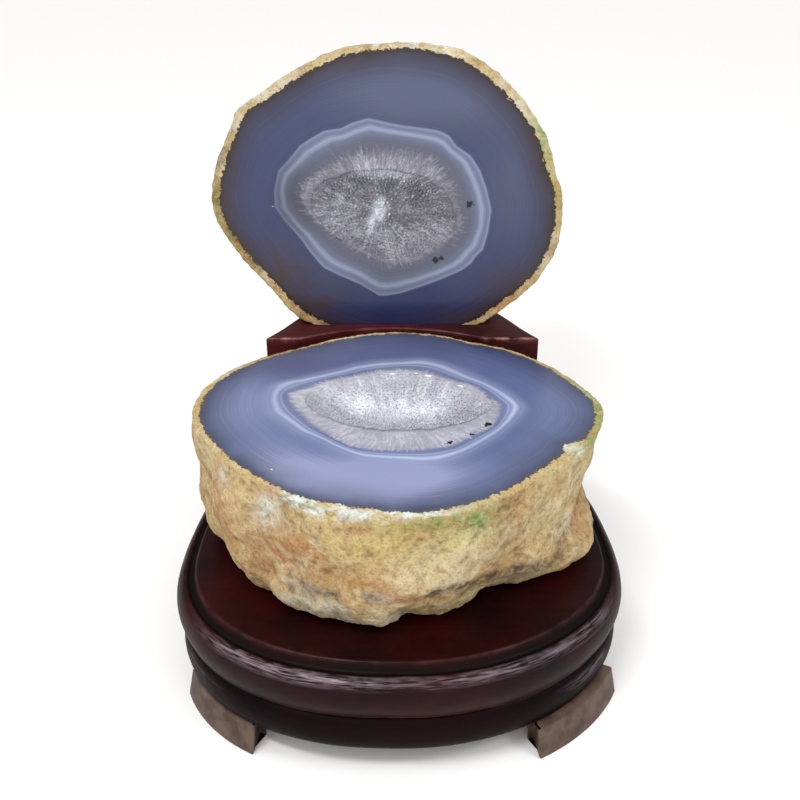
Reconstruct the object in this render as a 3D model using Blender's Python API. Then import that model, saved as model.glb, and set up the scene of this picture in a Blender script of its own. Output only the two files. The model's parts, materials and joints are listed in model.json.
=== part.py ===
# An agate nodule sawn in two, shown as a bowl and a lid on a two-level lacquered wooden stand.
# The lower half lies cut face up at the front, the upper half stands in a seat on the back block.
# Units are metres, +Z is up and the front faces -Y.
# The origin is at the middle of the stand's box, on the surface that its feet rest on.
import math
import random

import bmesh
import bpy
from mathutils import Vector, noise

# Driving dimensions of the stand
BASE_WIDTH = 0.170
BASE_LENGTH = 0.213
BASE_FRONT_REACH = 0.067
GAP = 0.0003
FOOT_HEIGHT = 0.012
UNDER_BOARD_HEIGHT = 0.015
BASE_BOARD_HEIGHT = 0.021
BACK_BLOCK_HEIGHT = 0.049
BACK_BLOCK_X = 0.001
BACK_BLOCK_WIDTH = 0.115
BACK_BLOCK_INSET = 0.0095
BACK_BLOCK_FRONT_Y = 0.042
BACK_BLOCK_CORNER = 0.007
SCOOP_RADIUS = 0.085
SCOOP_DEPTH = 0.0095
SCOOP_X = -0.003
BLOCK_EDGE = 0.0008
FOOT_THICKNESS = 0.008
FOOT_SPLAY = 0.0025

# Driving dimensions of the stone
FACE_Y = -0.0255
LOWER_THICKNESS = 0.0557
UPPER_THICKNESS = 0.0392
LEAN_DEGREES = 10.0
UPPER_FACE_Y = 0.065
UPPER_FACE_ABOVE_LOWER_FACE = 0.045
HOLLOW_DEPTH = 0.0130
HOLLOW_LIP = 0.0025
HOLLOW_CURVE = 2.4
HOLLOW_LIP_SLOPE = 0.0003
CRUST_GAP = 0.0005
CRUST_THICKNESS = 0.0020
CRUST_EDGE_GAP = 0.0009
CRUST_EDGE_DEPTH = 0.0007
CRYSTAL_HEIGHT = 0.0022
CRYSTAL_RINGS = 10
SEAT_CLEARANCE = 0.0016
LUMP_SIZE = 0.022
LUMP_HEIGHT = 0.0030
KNOB_SIZE = 0.009
KNOB_HEIGHT = 0.0014
SAG_SIZE = 0.013
SAG_HEIGHT = 0.0022
LUMP_FADE_DEPTH = 0.25
LOWER_LUMPS = 1.35
UPPER_LUMPS = 0.6
BACK_RING = 0.55
BACK_SWELL = 0.0008

# Heights above the surface that the feet stand on
UNDER_BOARD_BOTTOM = FOOT_HEIGHT + GAP
BASE_BOARD_BOTTOM = UNDER_BOARD_BOTTOM + UNDER_BOARD_HEIGHT + GAP
PANEL_TOP = BASE_BOARD_BOTTOM + BASE_BOARD_HEIGHT
BACK_BLOCK_BOTTOM = PANEL_TOP + GAP
LOWER_FACE_Z = PANEL_TOP + GAP + LOWER_THICKNESS

# The rims of the two cut faces, in millimetres from the middle of each face, x then up the face
LOWER_RIM = [(74, 2), (68, 17), (59, 31), (44, 45), (29, 52), (12, 59), (-8, 60), (-23, 56),
             (-40, 47), (-59, 35), (-69, 24), (-75, 10), (-75, -7), (-66, -26), (-56, -39),
             (-43, -51), (-29, -60), (-9, -65), (9, -66), (22, -62), (36, -54), (48, -43),
             (60, -30), (70, -17)]
UPPER_RIM = [(68, -5), (67, 5), (64, 13), (60, 26), (53, 37), (40, 51), (28, 59), (12, 63),
             (-8, 63), (-24, 61), (-40, 54), (-56, 44), (-66, 37), (-70, 28), (-76, 14),
             (-78, 0), (-76, -9), (-68, -22), (-56, -36), (-47, -47), (-36, -54), (-20, -59),
             (0, -60), (20, -58), (36, -52), (47, -44), (58, -34), (66, -20)]
# The edges of the crystal hollows, in the same way
LOWER_HOLLOW = [(34, 3), (25, 15), (18, 19), (9, 25), (-1, 26), (-17, 22), (-30, 14), (-35, 7),
                (-31, -2), (-23, -9), (-11, -14), (2, -15), (15, -13), (26, -8)]
UPPER_HOLLOW = [(23, -9), (20, 2), (12, 9), (1, 12), (-11, 13), (-24, 11), (-33, 7), (-37, 0),
                (-34, -7), (-27, -14), (-17, -20), (-6, -24), (6, -23), (17, -17)]
# Where the hollows' middles lie on the faces, in millimetres
LOWER_HOLLOW_MIDDLE = (-1, 5)
UPPER_HOLLOW_MIDDLE = (-8, -6)

# How wide the flank is at each part of the depth, on the right, back, left and front
FLANK_DEPTHS = (0.0, 0.2, 0.45, 0.65, 0.85, 1.0)
LOWER_FLANK = ((1.0, 0.975, 0.945, 0.965, 1.03, 0.93),
               (1.0, 1.0, 0.98, 0.95, 0.90, 0.78),
               (1.0, 1.01, 1.0, 0.985, 0.965, 0.88),
               (1.0, 1.0, 0.99, 0.98, 0.96, 0.90))
UPPER_FLANK = ((1.0, 0.985, 0.91, 0.79, 0.55, 0.22),
               (1.0, 0.98, 0.90, 0.78, 0.53, 0.20),
               (1.0, 0.985, 0.92, 0.81, 0.57, 0.24),
               (1.0, 0.985, 0.92, 0.80, 0.55, 0.22))
# The undercut low on the front: the directions over which it starts and runs out, and its shape
LEDGE_START = (-98.0, -86.0)
LEDGE_END = (-62.0, -15.0)
LEDGE_CUT = 0.18
LEDGE_TOP_DEPTH = 0.6
FLANK_RINGS = (0.03, 0.14, 0.28, 0.42, 0.55, 0.67, 0.78, 0.87, 0.94, 1.0)

# Section of the base board from the panel's edge to its foot: distance in from the outline, height
BASE_SECTION = ((0.0090, 0.0210), (0.0076, 0.0204), (0.0064, 0.0180), (0.0055, 0.0172),
                (0.0045, 0.0178), (0.0022, 0.0166), (0.0006, 0.0136), (0.0, 0.0096),
                (0.0004, 0.0056), (0.0015, 0.0022), (0.0026, 0.0))
UNDER_SECTION = ((0.0065, 0.0150), (0.0035, 0.0136), (0.0018, 0.0108), (0.0012, 0.0073),
                 (0.0016, 0.0036), (0.0032, 0.0))

BASE_MIDDLE_Y = BASE_FRONT_REACH - BASE_LENGTH / 2
BASE_REAR_REACH = BASE_LENGTH - BASE_FRONT_REACH
FRONT_LEFT_SQUARENESS = 2.25
FRONT_RIGHT_SQUARENESS = 2.0
REAR_SQUARENESS = 2.4
REAR_TAPER = 0.31
REAR_TAPER_POWER = 1.6
STAND_SIDES = 72


def plan_point(degrees):
    # A point of the stand's outline: wide and round in front, narrowing to a blunt rear end
    across = math.cos(math.radians(degrees))
    along = math.sin(math.radians(degrees))
    reach = abs(along)
    if along < 0:
        squareness = FRONT_RIGHT_SQUARENESS if across > 0 else FRONT_LEFT_SQUARENESS
        half_width = BASE_WIDTH / 2
        y = BASE_MIDDLE_Y - BASE_FRONT_REACH * reach
    else:
        squareness = REAR_SQUARENESS
        half_width = BASE_WIDTH / 2 * (1 - REAR_TAPER * reach ** REAR_TAPER_POWER)
        y = BASE_MIDDLE_Y + BASE_REAR_REACH * reach
    x = half_width * max(0.0, 1 - reach ** squareness) ** (1 / squareness)
    return Vector((math.copysign(x, across), y))


def inset_plan(degrees, inset):
    # The same point moved in by a distance square to the outline
    step = 0.5
    along = plan_point(degrees + step) - plan_point(degrees - step)
    inward = Vector((-along.y, along.x)).normalized()
    return plan_point(degrees) + inward * inset


def wrap(degrees):
    return (degrees + 180.0) % 360.0 - 180.0


def hermite(a, b, slope_a, slope_b, width, part):
    p2 = part * part
    p3 = p2 * part
    return ((2 * p3 - 3 * p2 + 1) * a + (p3 - 2 * p2 + part) * width * slope_a
            + (3 * p2 - 2 * p3) * b + (p3 - p2) * width * slope_b)


def polar_outline(points, middle):
    # Turns an outline in millimetres into a smooth radius in metres for any direction
    table = []
    for x, y in points:
        dx = x - middle[0]
        dy = y - middle[1]
        table.append((math.degrees(math.atan2(dy, dx)), math.hypot(dx, dy) / 1000))
    table.sort()
    table = [(a - 360, r) for a, r in table[-2:]] + table + [(a + 360, r) for a, r in table[:2]]

    def radius(degrees):
        degrees = wrap(degrees)
        for i in range(1, len(table) - 2):
            if table[i][0] <= degrees <= table[i + 1][0]:
                break
        a0, r0 = table[i - 1]
        a1, r1 = table[i]
        a2, r2 = table[i + 1]
        a3, r3 = table[i + 2]
        slope1 = (r2 - r0) / (a2 - a0)
        slope2 = (r3 - r1) / (a3 - a1)
        return hermite(r1, r2, slope1, slope2, a2 - a1, (degrees - a1) / (a2 - a1))

    return radius


def flank_scale(flank, degrees, depth):
    # Blends the four side profiles round the stone
    quarter = (degrees % 360.0) / 90.0
    first = int(quarter) % 4
    blend = quarter - int(quarter)
    blend = blend * blend * (3 - 2 * blend)
    for i in range(len(FLANK_DEPTHS) - 1):
        if depth <= FLANK_DEPTHS[i + 1]:
            break
    part = (depth - FLANK_DEPTHS[i]) / (FLANK_DEPTHS[i + 1] - FLANK_DEPTHS[i])
    sides = []
    for side in (flank[first], flank[(first + 1) % 4]):
        sides.append(side[i] + (side[i + 1] - side[i]) * part)
    return sides[0] * (1 - blend) + sides[1] * blend


def add_object(name, mesh, collection, material=None):
    item = bpy.data.objects.new(name, mesh)
    collection.objects.link(item)
    if material is not None:
        mesh.materials.append(material)
    return item


def finish_mesh(name, bm, smooth_degrees=None):
    bmesh.ops.recalc_face_normals(bm, faces=bm.faces)
    mesh = bpy.data.meshes.new(name)
    bm.to_mesh(mesh)
    bm.free()
    if smooth_degrees is not None:
        mesh.shade_smooth()
        mesh.set_sharp_from_angle(angle=math.radians(smooth_degrees))
    return mesh


def add_ring(bm, points):
    return [bm.verts.new(p) for p in points]


def join_rings(bm, first, second):
    count = len(first)
    for i in range(count):
        j = (i + 1) % count
        bm.faces.new((first[i], first[j], second[j]))
        bm.faces.new((first[i], second[j], second[i]))


def close_to_point(bm, ring, point):
    middle = bm.verts.new(point)
    for i in range(len(ring)):
        bm.faces.new((ring[i], ring[(i + 1) % len(ring)], middle))


def make_material(name, colour, roughness, metallic=0.0):
    material = bpy.data.materials.new(name)
    material.use_nodes = True
    shader = material.node_tree.nodes["Principled BSDF"]
    shader.inputs["Base Color"].default_value = (*colour, 1.0)
    shader.inputs["Roughness"].default_value = roughness
    shader.inputs["Metallic"].default_value = metallic
    return material


def loft_stand_piece(name, section, bottom, collection, material):
    # Carries a moulded section round the stand's outline
    bm = bmesh.new()
    rings = []
    for inset, height in section:
        points = []
        for i in range(STAND_SIDES):
            spot = inset_plan(360.0 * i / STAND_SIDES, inset)
            points.append((spot.x, spot.y, bottom + height))
        rings.append(add_ring(bm, points))
    for upper, lower in zip(rings, rings[1:]):
        join_rings(bm, upper, lower)
    bm.faces.new(rings[0])
    bm.faces.new(list(reversed(rings[-1])))
    return add_object(name, finish_mesh(name, bm, 35), collection, material)


def make_foot(name, near_end, far_end, inset, collection, material, steps=8):
    # A sawn bracket that follows the outline and leans out at its foot
    # Its end nearest the stand's middle line is cut straight back instead of square to the outline
    bm = bmesh.new()
    rings = []
    for i in range(steps + 1):
        degrees = near_end + (far_end - near_end) * i / steps
        outer_top = inset_plan(degrees, inset)
        outer_foot = inset_plan(degrees, inset - FOOT_SPLAY)
        inner = inset_plan(degrees, inset + FOOT_THICKNESS)
        if i == 0:
            square = (inner - outer_top).normalized()
            back = Vector((0.0, math.copysign(1.0, square.y)))
            inner = outer_top + back * FOOT_THICKNESS / back.dot(square)
        rings.append(add_ring(bm, [(outer_top.x, outer_top.y, FOOT_HEIGHT),
                                   (outer_foot.x, outer_foot.y, 0.0),
                                   (inner.x, inner.y, 0.0),
                                   (inner.x, inner.y, FOOT_HEIGHT)]))
    for ring, following in zip(rings, rings[1:]):
        join_rings(bm, ring, following)
    bm.faces.new(rings[0])
    bm.faces.new(list(reversed(rings[-1])))
    return add_object(name, finish_mesh(name, bm, 35), collection, material)


def cut(target, cutter):
    modifier = target.modifiers.new("Cut", "BOOLEAN")
    modifier.operation = "DIFFERENCE"
    modifier.solver = "EXACT"
    modifier.object = cutter


def as_cutter(item):
    item.hide_render = True
    item.display_type = "WIRE"
    return item


def make_back_block(name, collection, cutters, material, seat, steps=34):
    # The raised block: the rear of the outline moved in, cut straight across the front
    bm = bmesh.new()
    outline = []
    for i in range(steps + 1):
        spot = inset_plan(180.0 * i / steps, BACK_BLOCK_INSET)
        if spot.y > BACK_BLOCK_FRONT_Y + BACK_BLOCK_CORNER:
            outline.append(spot)
    outline.insert(0, Vector((BACK_BLOCK_WIDTH / 2, BACK_BLOCK_FRONT_Y)))
    outline.append(Vector((-BACK_BLOCK_WIDTH / 2, BACK_BLOCK_FRONT_Y)))
    outline = [Vector((spot.x + BACK_BLOCK_X, spot.y)) for spot in outline]
    middle = sum(outline, Vector((0, 0))) / len(outline)
    top = BACK_BLOCK_BOTTOM + BACK_BLOCK_HEIGHT
    rings = []
    for shrink, height in ((BLOCK_EDGE, top), (0.0, top - BLOCK_EDGE), (0.0, BACK_BLOCK_BOTTOM)):
        points = []
        for spot in outline:
            toward = (middle - spot).normalized() * shrink
            points.append((spot.x + toward.x, spot.y + toward.y, height))
        rings.append(add_ring(bm, points))
    for upper, lower in zip(rings, rings[1:]):
        join_rings(bm, upper, lower)
    bm.faces.new(rings[0])
    bm.faces.new(list(reversed(rings[-1])))
    block = add_object(name, finish_mesh(name, bm, 30), collection, material)

    bm = bmesh.new()
    bmesh.ops.create_cone(bm, cap_ends=True, segments=96, radius1=SCOOP_RADIUS,
                          radius2=SCOOP_RADIUS, depth=BACK_BLOCK_HEIGHT * 2)
    scoop = as_cutter(add_object("scoop_cutter", finish_mesh("scoop_cutter", bm), cutters))
    scoop.location = (SCOOP_X, BACK_BLOCK_FRONT_Y + SCOOP_DEPTH - SCOOP_RADIUS,
                      BACK_BLOCK_BOTTOM + BACK_BLOCK_HEIGHT / 2)
    cut(block, scoop)
    cut(block, seat)
    return block


def hollow_level(part):
    # Depth of the hollow's floor from its lip to its middle, part being 1 at the lip
    return HOLLOW_LIP + (HOLLOW_DEPTH - HOLLOW_LIP) * (1 - part ** HOLLOW_CURVE)


HOLLOW_PARTS = (1.0, 0.84, 0.55)


def rough(point, size, amount, seed):
    return noise.noise(point / size + Vector((seed, seed * 0.7, -seed))) * amount


def smooth_step(value, start, end):
    part = min(1.0, max(0.0, (value - start) / (end - start)))
    return part * part * (3 - 2 * part)


def ledge_share(degrees):
    # The undercut starts suddenly near the front and runs out towards the right
    return smooth_step(degrees, *LEDGE_START) * (1 - smooth_step(degrees, *LEDGE_END))


def make_half(name, rim, hollow, middle, thickness, flank, seed, collection, material,
              ledge, lumps, back_swell):
    # One half of the nodule: flat cut face at z 0 with its hollow, rough flank and back below
    # The middle of its back bulges by back_swell, and is the flat that it rests on where that is 0
    bm = bmesh.new()
    sides = 6 * CRYSTAL_RINGS
    rim_radius = polar_outline(rim, (0, 0))
    hollow_radius = polar_outline(hollow, middle)
    centre = Vector((middle[0] / 1000, middle[1] / 1000, 0.0))
    directions = [360.0 * i / sides for i in range(sides)]

    def place(origin, degrees, radius, height):
        turn = math.radians(degrees)
        return Vector((origin.x + radius * math.cos(turn), origin.y + radius * math.sin(turn), height))

    origin = Vector((0, 0, 0))
    face_edge = add_ring(bm, [place(origin, d, rim_radius(d), 0.0) for d in directions])
    lip = add_ring(bm, [place(centre, d, hollow_radius(d), 0.0) for d in directions])
    join_rings(bm, lip, face_edge)
    previous = lip
    for part in HOLLOW_PARTS:
        shift = HOLLOW_LIP_SLOPE if part == 1.0 else 0.0
        ring = add_ring(bm, [place(centre, d, hollow_radius(d) * part - shift, -hollow_level(part))
                             for d in directions])
        join_rings(bm, previous, ring)
        previous = ring
    close_to_point(bm, previous, (centre.x, centre.y, -HOLLOW_DEPTH))

    previous = face_edge
    for depth in FLANK_RINGS:
        points = []
        for d in directions:
            scale = flank_scale(flank, d, depth)
            deep = max(0.0, (depth - LEDGE_TOP_DEPTH) / (1 - LEDGE_TOP_DEPTH))
            scale *= 1 - ledge * ledge_share(wrap(d)) * deep
            radius = rim_radius(d) * scale
            spot = place(origin, d, radius, -thickness * depth)
            swell = (rough(spot, LUMP_SIZE, LUMP_HEIGHT, seed)
                     + rough(spot, KNOB_SIZE, KNOB_HEIGHT, seed + 3.1))
            fade = min(1.0, depth / LUMP_FADE_DEPTH) * lumps
            spot = place(origin, d, radius + swell * fade, -thickness * depth)
            if FLANK_RINGS[0] < depth < FLANK_RINGS[-1]:
                spot.z += rough(spot, SAG_SIZE, SAG_HEIGHT, seed + 7.7) * fade
            points.append(spot)
        ring = add_ring(bm, points)
        join_rings(bm, ring, previous)
        previous = ring
    last = FLANK_RINGS[-1]
    inner = []
    for d in directions:
        radius = rim_radius(d) * flank_scale(flank, d, last) * BACK_RING
        inner.append(place(origin, d, radius, -thickness - back_swell))
    ring = add_ring(bm, inner)
    join_rings(bm, ring, previous)
    close_to_point(bm, ring, (0, 0, inner[0].z))
    return add_object(name, finish_mesh(name, bm, 28), collection, material)


def seat_cutter(name, cutters):
    # A smooth form a little larger than the upper half, which hollows out its seat
    bm = bmesh.new()
    sides = 40
    rim_radius = polar_outline(UPPER_RIM, (0, 0))
    rings = []
    for depth in (-0.03, 0.2, 0.45, 0.65, 0.85, 1.0):
        points = []
        for i in range(sides):
            d = 360.0 * i / sides
            turn = math.radians(d)
            radius = rim_radius(d) * flank_scale(UPPER_FLANK, d, max(0.0, depth)) + SEAT_CLEARANCE
            points.append((radius * math.cos(turn), radius * math.sin(turn),
                           -UPPER_THICKNESS * depth))
        rings.append(add_ring(bm, points))
    for first, second in zip(rings, rings[1:]):
        join_rings(bm, first, second)
    bm.faces.new(rings[0])
    bm.faces.new(list(reversed(rings[-1])))
    return as_cutter(add_object(name, finish_mesh(name, bm), cutters))


def make_crust(name, hollow, middle, seed, collection, material):
    # Quartz points lining a hollow: a lattice of six-sided pyramids on a thin skin
    dice = random.Random(seed)
    bm = bmesh.new()
    hollow_radius = polar_outline(hollow, middle)
    centre = Vector((middle[0] / 1000, middle[1] / 1000, 0.0))
    corners = ((1, 0), (0, 1), (-1, 1), (-1, 0), (0, -1), (1, -1))

    def place(degrees, part, height, inward=0.0):
        turn = math.radians(degrees)
        radius = max(0.0, (hollow_radius(degrees) - CRUST_EDGE_GAP) * part - inward)
        return Vector((centre.x + radius * math.cos(turn), centre.y + radius * math.sin(turn), height))

    def top_level(part):
        skin = CRUST_GAP + CRUST_THICKNESS * (1.0 - 0.35 * part)
        return -hollow_level(part) + skin

    rows = []
    for ring in range(CRYSTAL_RINGS + 1):
        row = []
        for k in range(max(1, 6 * ring)):
            sector = k // ring if ring else 0
            offset = k % ring if ring else 0
            here = corners[sector % 6]
            after = corners[(sector + 1) % 6]
            q = here[0] * (ring - offset) + after[0] * offset
            r = here[1] * (ring - offset) + after[1] * offset
            degrees = 60.0 * k / ring if ring else 0.0
            part = ring / CRYSTAL_RINGS
            point_here = (q - r) % 3 == 0 and ring < CRYSTAL_RINGS
            if ring == CRYSTAL_RINGS:
                spot = place(degrees, 1.0, -CRUST_EDGE_DEPTH)
            elif point_here:
                height = CRYSTAL_HEIGHT * dice.uniform(0.55, 1.25)
                spot = place(degrees + dice.uniform(-6, 6) / max(1, ring), part,
                             top_level(part) + height * (1.0 - 0.25 * part), height * 0.7 * part)
            else:
                spot = place(degrees + dice.uniform(-5, 5) / max(1, ring), part,
                             top_level(part) + dice.uniform(-0.0003, 0.0003))
            row.append(bm.verts.new(spot))
        rows.append(row)
    for ring in range(1, CRYSTAL_RINGS + 1):
        outer = rows[ring]
        inner = rows[ring - 1]
        for sector in range(6):
            for offset in range(ring):
                a = outer[(sector * ring + offset) % len(outer)]
                b = outer[(sector * ring + offset + 1) % len(outer)]
                c = inner[(sector * (ring - 1) + offset) % len(inner)]
                bm.faces.new((a, b, c))
                if offset < ring - 1:
                    d = inner[(sector * (ring - 1) + offset + 1) % len(inner)]
                    bm.faces.new((b, d, c))

    previous = rows[CRYSTAL_RINGS]
    for part in HOLLOW_PARTS:
        points = []
        for k in range(6 * CRYSTAL_RINGS):
            degrees = 360.0 * k / (6 * CRYSTAL_RINGS)
            points.append(place(degrees, part, -hollow_level(part) + CRUST_GAP))
        ring = add_ring(bm, points)
        join_rings(bm, previous, ring)
        previous = ring
    close_to_point(bm, previous, (centre.x, centre.y, -HOLLOW_DEPTH + CRUST_GAP))
    return add_object(name, finish_mesh(name, bm), collection, material)


def main():
    for old in list(bpy.data.objects):
        bpy.data.objects.remove(old, do_unlink=True)
    parts = bpy.data.collections.new("agate_pair_on_stand")
    cutters = bpy.data.collections.new("cutters")
    bpy.context.scene.collection.children.link(parts)
    bpy.context.scene.collection.children.link(cutters)

    rosewood = make_material("lacquered_rosewood", (0.050, 0.010, 0.010), 0.22)
    tan_stone = make_material("banded_agate_in_tan_rind", (0.42, 0.33, 0.20), 0.55)
    blue_stone = make_material("banded_agate_upper", (0.18, 0.20, 0.42), 0.35)
    quartz = make_material("white_quartz_points", (0.62, 0.61, 0.64), 0.30)

    loft_stand_piece("base_board", BASE_SECTION, BASE_BOARD_BOTTOM, parts, rosewood)
    loft_stand_piece("under_board", UNDER_SECTION, UNDER_BOARD_BOTTOM, parts, rosewood)
    for name, near_end, far_end, inset in (("front_right_foot", -55, -20, -0.0008),
                                           ("front_left_foot", -124, -158, 0.0022),
                                           ("rear_right_foot", 53, 30, 0.0),
                                           ("rear_left_foot", 127, 150, 0.0)):
        make_foot(name, near_end, far_end, inset, parts, rosewood)

    lower = make_half("lower_half", LOWER_RIM, LOWER_HOLLOW, LOWER_HOLLOW_MIDDLE, LOWER_THICKNESS,
                      LOWER_FLANK, 4.0, parts, tan_stone, LEDGE_CUT, LOWER_LUMPS, 0.0)
    lower.location = (0, FACE_Y, LOWER_FACE_Z)
    lower_crystals = make_crust("lower_crystals", LOWER_HOLLOW, LOWER_HOLLOW_MIDDLE, 11, parts, quartz)
    lower_crystals.parent = lower

    upper = make_half("upper_half", UPPER_RIM, UPPER_HOLLOW, UPPER_HOLLOW_MIDDLE, UPPER_THICKNESS,
                      UPPER_FLANK, 9.0, parts, blue_stone, 0.0, UPPER_LUMPS, BACK_SWELL)
    upper.location = (0, UPPER_FACE_Y, LOWER_FACE_Z + UPPER_FACE_ABOVE_LOWER_FACE)
    upper.rotation_euler = (math.radians(90.0 - LEAN_DEGREES), 0, 0)
    upper_crystals = make_crust("upper_crystals", UPPER_HOLLOW, UPPER_HOLLOW_MIDDLE, 12, parts, quartz)
    upper_crystals.parent = upper

    seat = seat_cutter("seat_cutter", cutters)
    seat.location = upper.location
    seat.rotation_euler = upper.rotation_euler
    make_back_block("back_block", parts, cutters, rosewood, seat)


main()
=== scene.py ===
# Dresses an agate nodule sawn in two, shown as a bowl and a lid on a lacquered wooden stand
# Metres, +Z up, the front faces -Y; outlines on the stone are in millimetres from a face's middle
import json
import math
import random
from functools import partial

import bmesh
import bpy
import numpy as np
from mathutils import Matrix, Vector, noise

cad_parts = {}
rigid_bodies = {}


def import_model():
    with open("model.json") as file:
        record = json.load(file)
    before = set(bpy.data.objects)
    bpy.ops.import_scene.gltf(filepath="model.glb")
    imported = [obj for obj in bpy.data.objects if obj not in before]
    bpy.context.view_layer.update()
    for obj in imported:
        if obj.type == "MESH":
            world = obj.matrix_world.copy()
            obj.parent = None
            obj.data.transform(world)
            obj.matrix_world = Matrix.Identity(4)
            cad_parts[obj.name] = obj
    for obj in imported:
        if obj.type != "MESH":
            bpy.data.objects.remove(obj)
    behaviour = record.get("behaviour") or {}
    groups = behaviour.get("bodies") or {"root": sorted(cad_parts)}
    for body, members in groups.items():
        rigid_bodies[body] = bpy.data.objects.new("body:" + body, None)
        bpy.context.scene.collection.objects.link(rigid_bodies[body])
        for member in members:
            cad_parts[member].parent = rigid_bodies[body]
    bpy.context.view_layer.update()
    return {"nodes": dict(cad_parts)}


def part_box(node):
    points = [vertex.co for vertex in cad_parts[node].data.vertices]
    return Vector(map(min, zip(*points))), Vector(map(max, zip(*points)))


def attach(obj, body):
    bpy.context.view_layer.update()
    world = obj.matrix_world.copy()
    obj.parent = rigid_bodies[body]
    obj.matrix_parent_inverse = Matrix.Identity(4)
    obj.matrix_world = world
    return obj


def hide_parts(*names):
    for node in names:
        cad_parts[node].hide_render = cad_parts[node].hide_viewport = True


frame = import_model()
print("frame loaded:", ", ".join(sorted(frame["nodes"])))


# Small helpers

def linear(hexValue):
    # sRGB hex to linear light
    channels = [int(hexValue[i:i + 2], 16) / 255 for i in (1, 3, 5)]
    return tuple(c / 12.92 if c <= 0.04045 else ((c + 0.055) / 1.055) ** 2.4 for c in channels) + (1.0,)


def setInputs(tree, node, inputs):
    # inputs by name, or in order; each takes a plain value or another node's output
    for key, value in inputs.items() if isinstance(inputs, dict) else enumerate(inputs):
        if isinstance(value, bpy.types.NodeSocket):
            tree.links.new(value, node.inputs[key])
        else:
            node.inputs[key].default_value = value


def addNode(tree, kind, inputs=(), output=0, stops=None, **settings):
    # adds a node with its settings and links and hands back one of its outputs; the inputs in order
    # are for a MapRange value, from low, from high, to low, to high, and for a MixRGB share, under, over
    node = tree.nodes.new(kind if "Node" in kind else "ShaderNode" + kind)
    for name, value in settings.items():
        setattr(node, name, value)
    setInputs(tree, node, inputs)
    if stops:
        elements = node.color_ramp.elements
        elements.remove(elements[1])
        elements[0].position = stops[0][0]
        elements[0].color = linear(stops[0][1])
        for position, colour in stops[1:]:
            elements.new(position).color = linear(colour)
    return node.outputs[output] if node.outputs else node


def newMaterial(name):
    # hands back the material, a maker of nodes for it, and a setter for its surface
    material = bpy.data.materials.new(name)
    material.use_nodes = True
    tree = material.node_tree
    return material, partial(addNode, tree), partial(setInputs, tree, tree.nodes["Principled BSDF"])


def patches(add, place, scale, low, high, most=1.0, least=0.0, within=None, **grain):
    # soft-edged patches of noise, kept to where a painted attribute allows them
    share = add("TexNoise", {"Vector": place, "Scale": scale, "Detail": 3.0, **grain})
    share = add("MapRange", (share, low, high, least, most))
    if within is None:
        return share
    painted = add("Attribute", output="Fac", attribute_name=within)
    return add("Math", (share, painted), operation="MULTIPLY", use_clamp=True)


def linkObject(name, data):
    thing = bpy.data.objects.new(name, data)
    bpy.context.scene.collection.objects.link(thing)
    return thing


def smoothStep(value, start, end):
    part = np.clip((value - start) / (end - start), 0.0, 1.0)
    return part * part * (3 - 2 * part)


def lumps(points, size, seed):
    # smooth noise from -1 to 1 at each point; size is that of one lump in metres
    shift = Vector((seed, seed * 0.7, -seed))
    return np.array([noise.noise(Vector(p) / size + shift) for p in points])


def directions(sides):
    # the degrees round a ring, and a unit vector for each
    degrees = np.linspace(-180, 180, sides, endpoint=False)
    return degrees, np.stack([np.cos(np.radians(degrees)), np.sin(np.radians(degrees))], -1)


def levelRing(compass, centre, radius, height):
    spots = np.empty((len(compass), 3))
    spots[:, :2] = centre + compass * radius[:, None]
    spots[:, 2] = height
    return spots


def skinRings(name, rings, startPole=None, endPole=None):
    # quads between rings of equal length, closed by a fan at either end
    count = len(rings[0])
    points = [np.concatenate(rings)]
    i = np.arange(count)
    j = (i + 1) % count
    faces = []
    for row in range(len(rings) - 1):
        a = row * count
        b = a + count
        faces += np.stack([a + i, a + j, b + j, b + i], -1).tolist()
    total = count * len(rings)
    for pole, row, order in ((startPole, 0, 1), (endPole, len(rings) - 1, -1)):
        if pole is not None:
            points.append(np.array([pole]))
            a = row * count
            faces += np.stack([a + j, a + i, np.full(count, total)][::order], -1).tolist()
            total += 1
    mesh = bpy.data.meshes.new(name)
    mesh.from_pydata(np.concatenate(points).tolist(), [], faces)
    mesh.update()
    return mesh


def setAttributes(mesh, **fields):
    for name, values in fields.items():
        isVector = np.ndim(values) == 2
        layer = mesh.attributes.new(name, "FLOAT_VECTOR" if isVector else "FLOAT", "POINT")
        layer.data.foreach_set("vector" if isVector else "value", np.asarray(values, np.float32).ravel())


def skinRows(name, rows, startPole, endPole, **poleValues):
    # skins rows of a ring and its values, which become attributes; hands back the points in mm too
    rings = [row[0] for row in rows]
    mesh = skinRings(name, rings, startPole, endPole)
    for column, (field, atPoles) in enumerate(poleValues.items(), 1):
        values = [np.broadcast_to(row[column], len(row[0])) for row in rows]
        setAttributes(mesh, **{field: np.append(np.concatenate(values), atPoles)})
    return mesh, np.concatenate(rings + [[startPole, endPole]]) * 1000


def turnOutward(mesh):
    # flips a closed mesh whose faces point inwards, and counts its triangles
    mesh.calc_loop_triangles()
    corners = np.empty(len(mesh.vertices) * 3, np.float32)
    mesh.vertices.foreach_get("co", corners)
    picks = np.empty(len(mesh.loop_triangles) * 3, np.int32)
    mesh.loop_triangles.foreach_get("vertices", picks)
    a, b, c = corners.reshape(-1, 3)[picks.reshape(-1, 3)].transpose(1, 0, 2)
    if (a * np.cross(b, c)).sum() < 0:
        mesh.flip_normals()
    return len(mesh.loop_triangles)


def evenNormals(mesh, fillCaps=False):
    # points every face of a closed mesh the same way, after closing its open ends where asked
    bm = bmesh.new()
    bm.from_mesh(mesh)
    if fillCaps:
        caps = bmesh.ops.holes_fill(bm, edges=bm.edges, sides=0)["faces"]
        bmesh.ops.triangulate(bm, faces=caps)
    bmesh.ops.recalc_face_normals(bm, faces=bm.faces)
    bm.to_mesh(mesh)
    bm.free()


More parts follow.
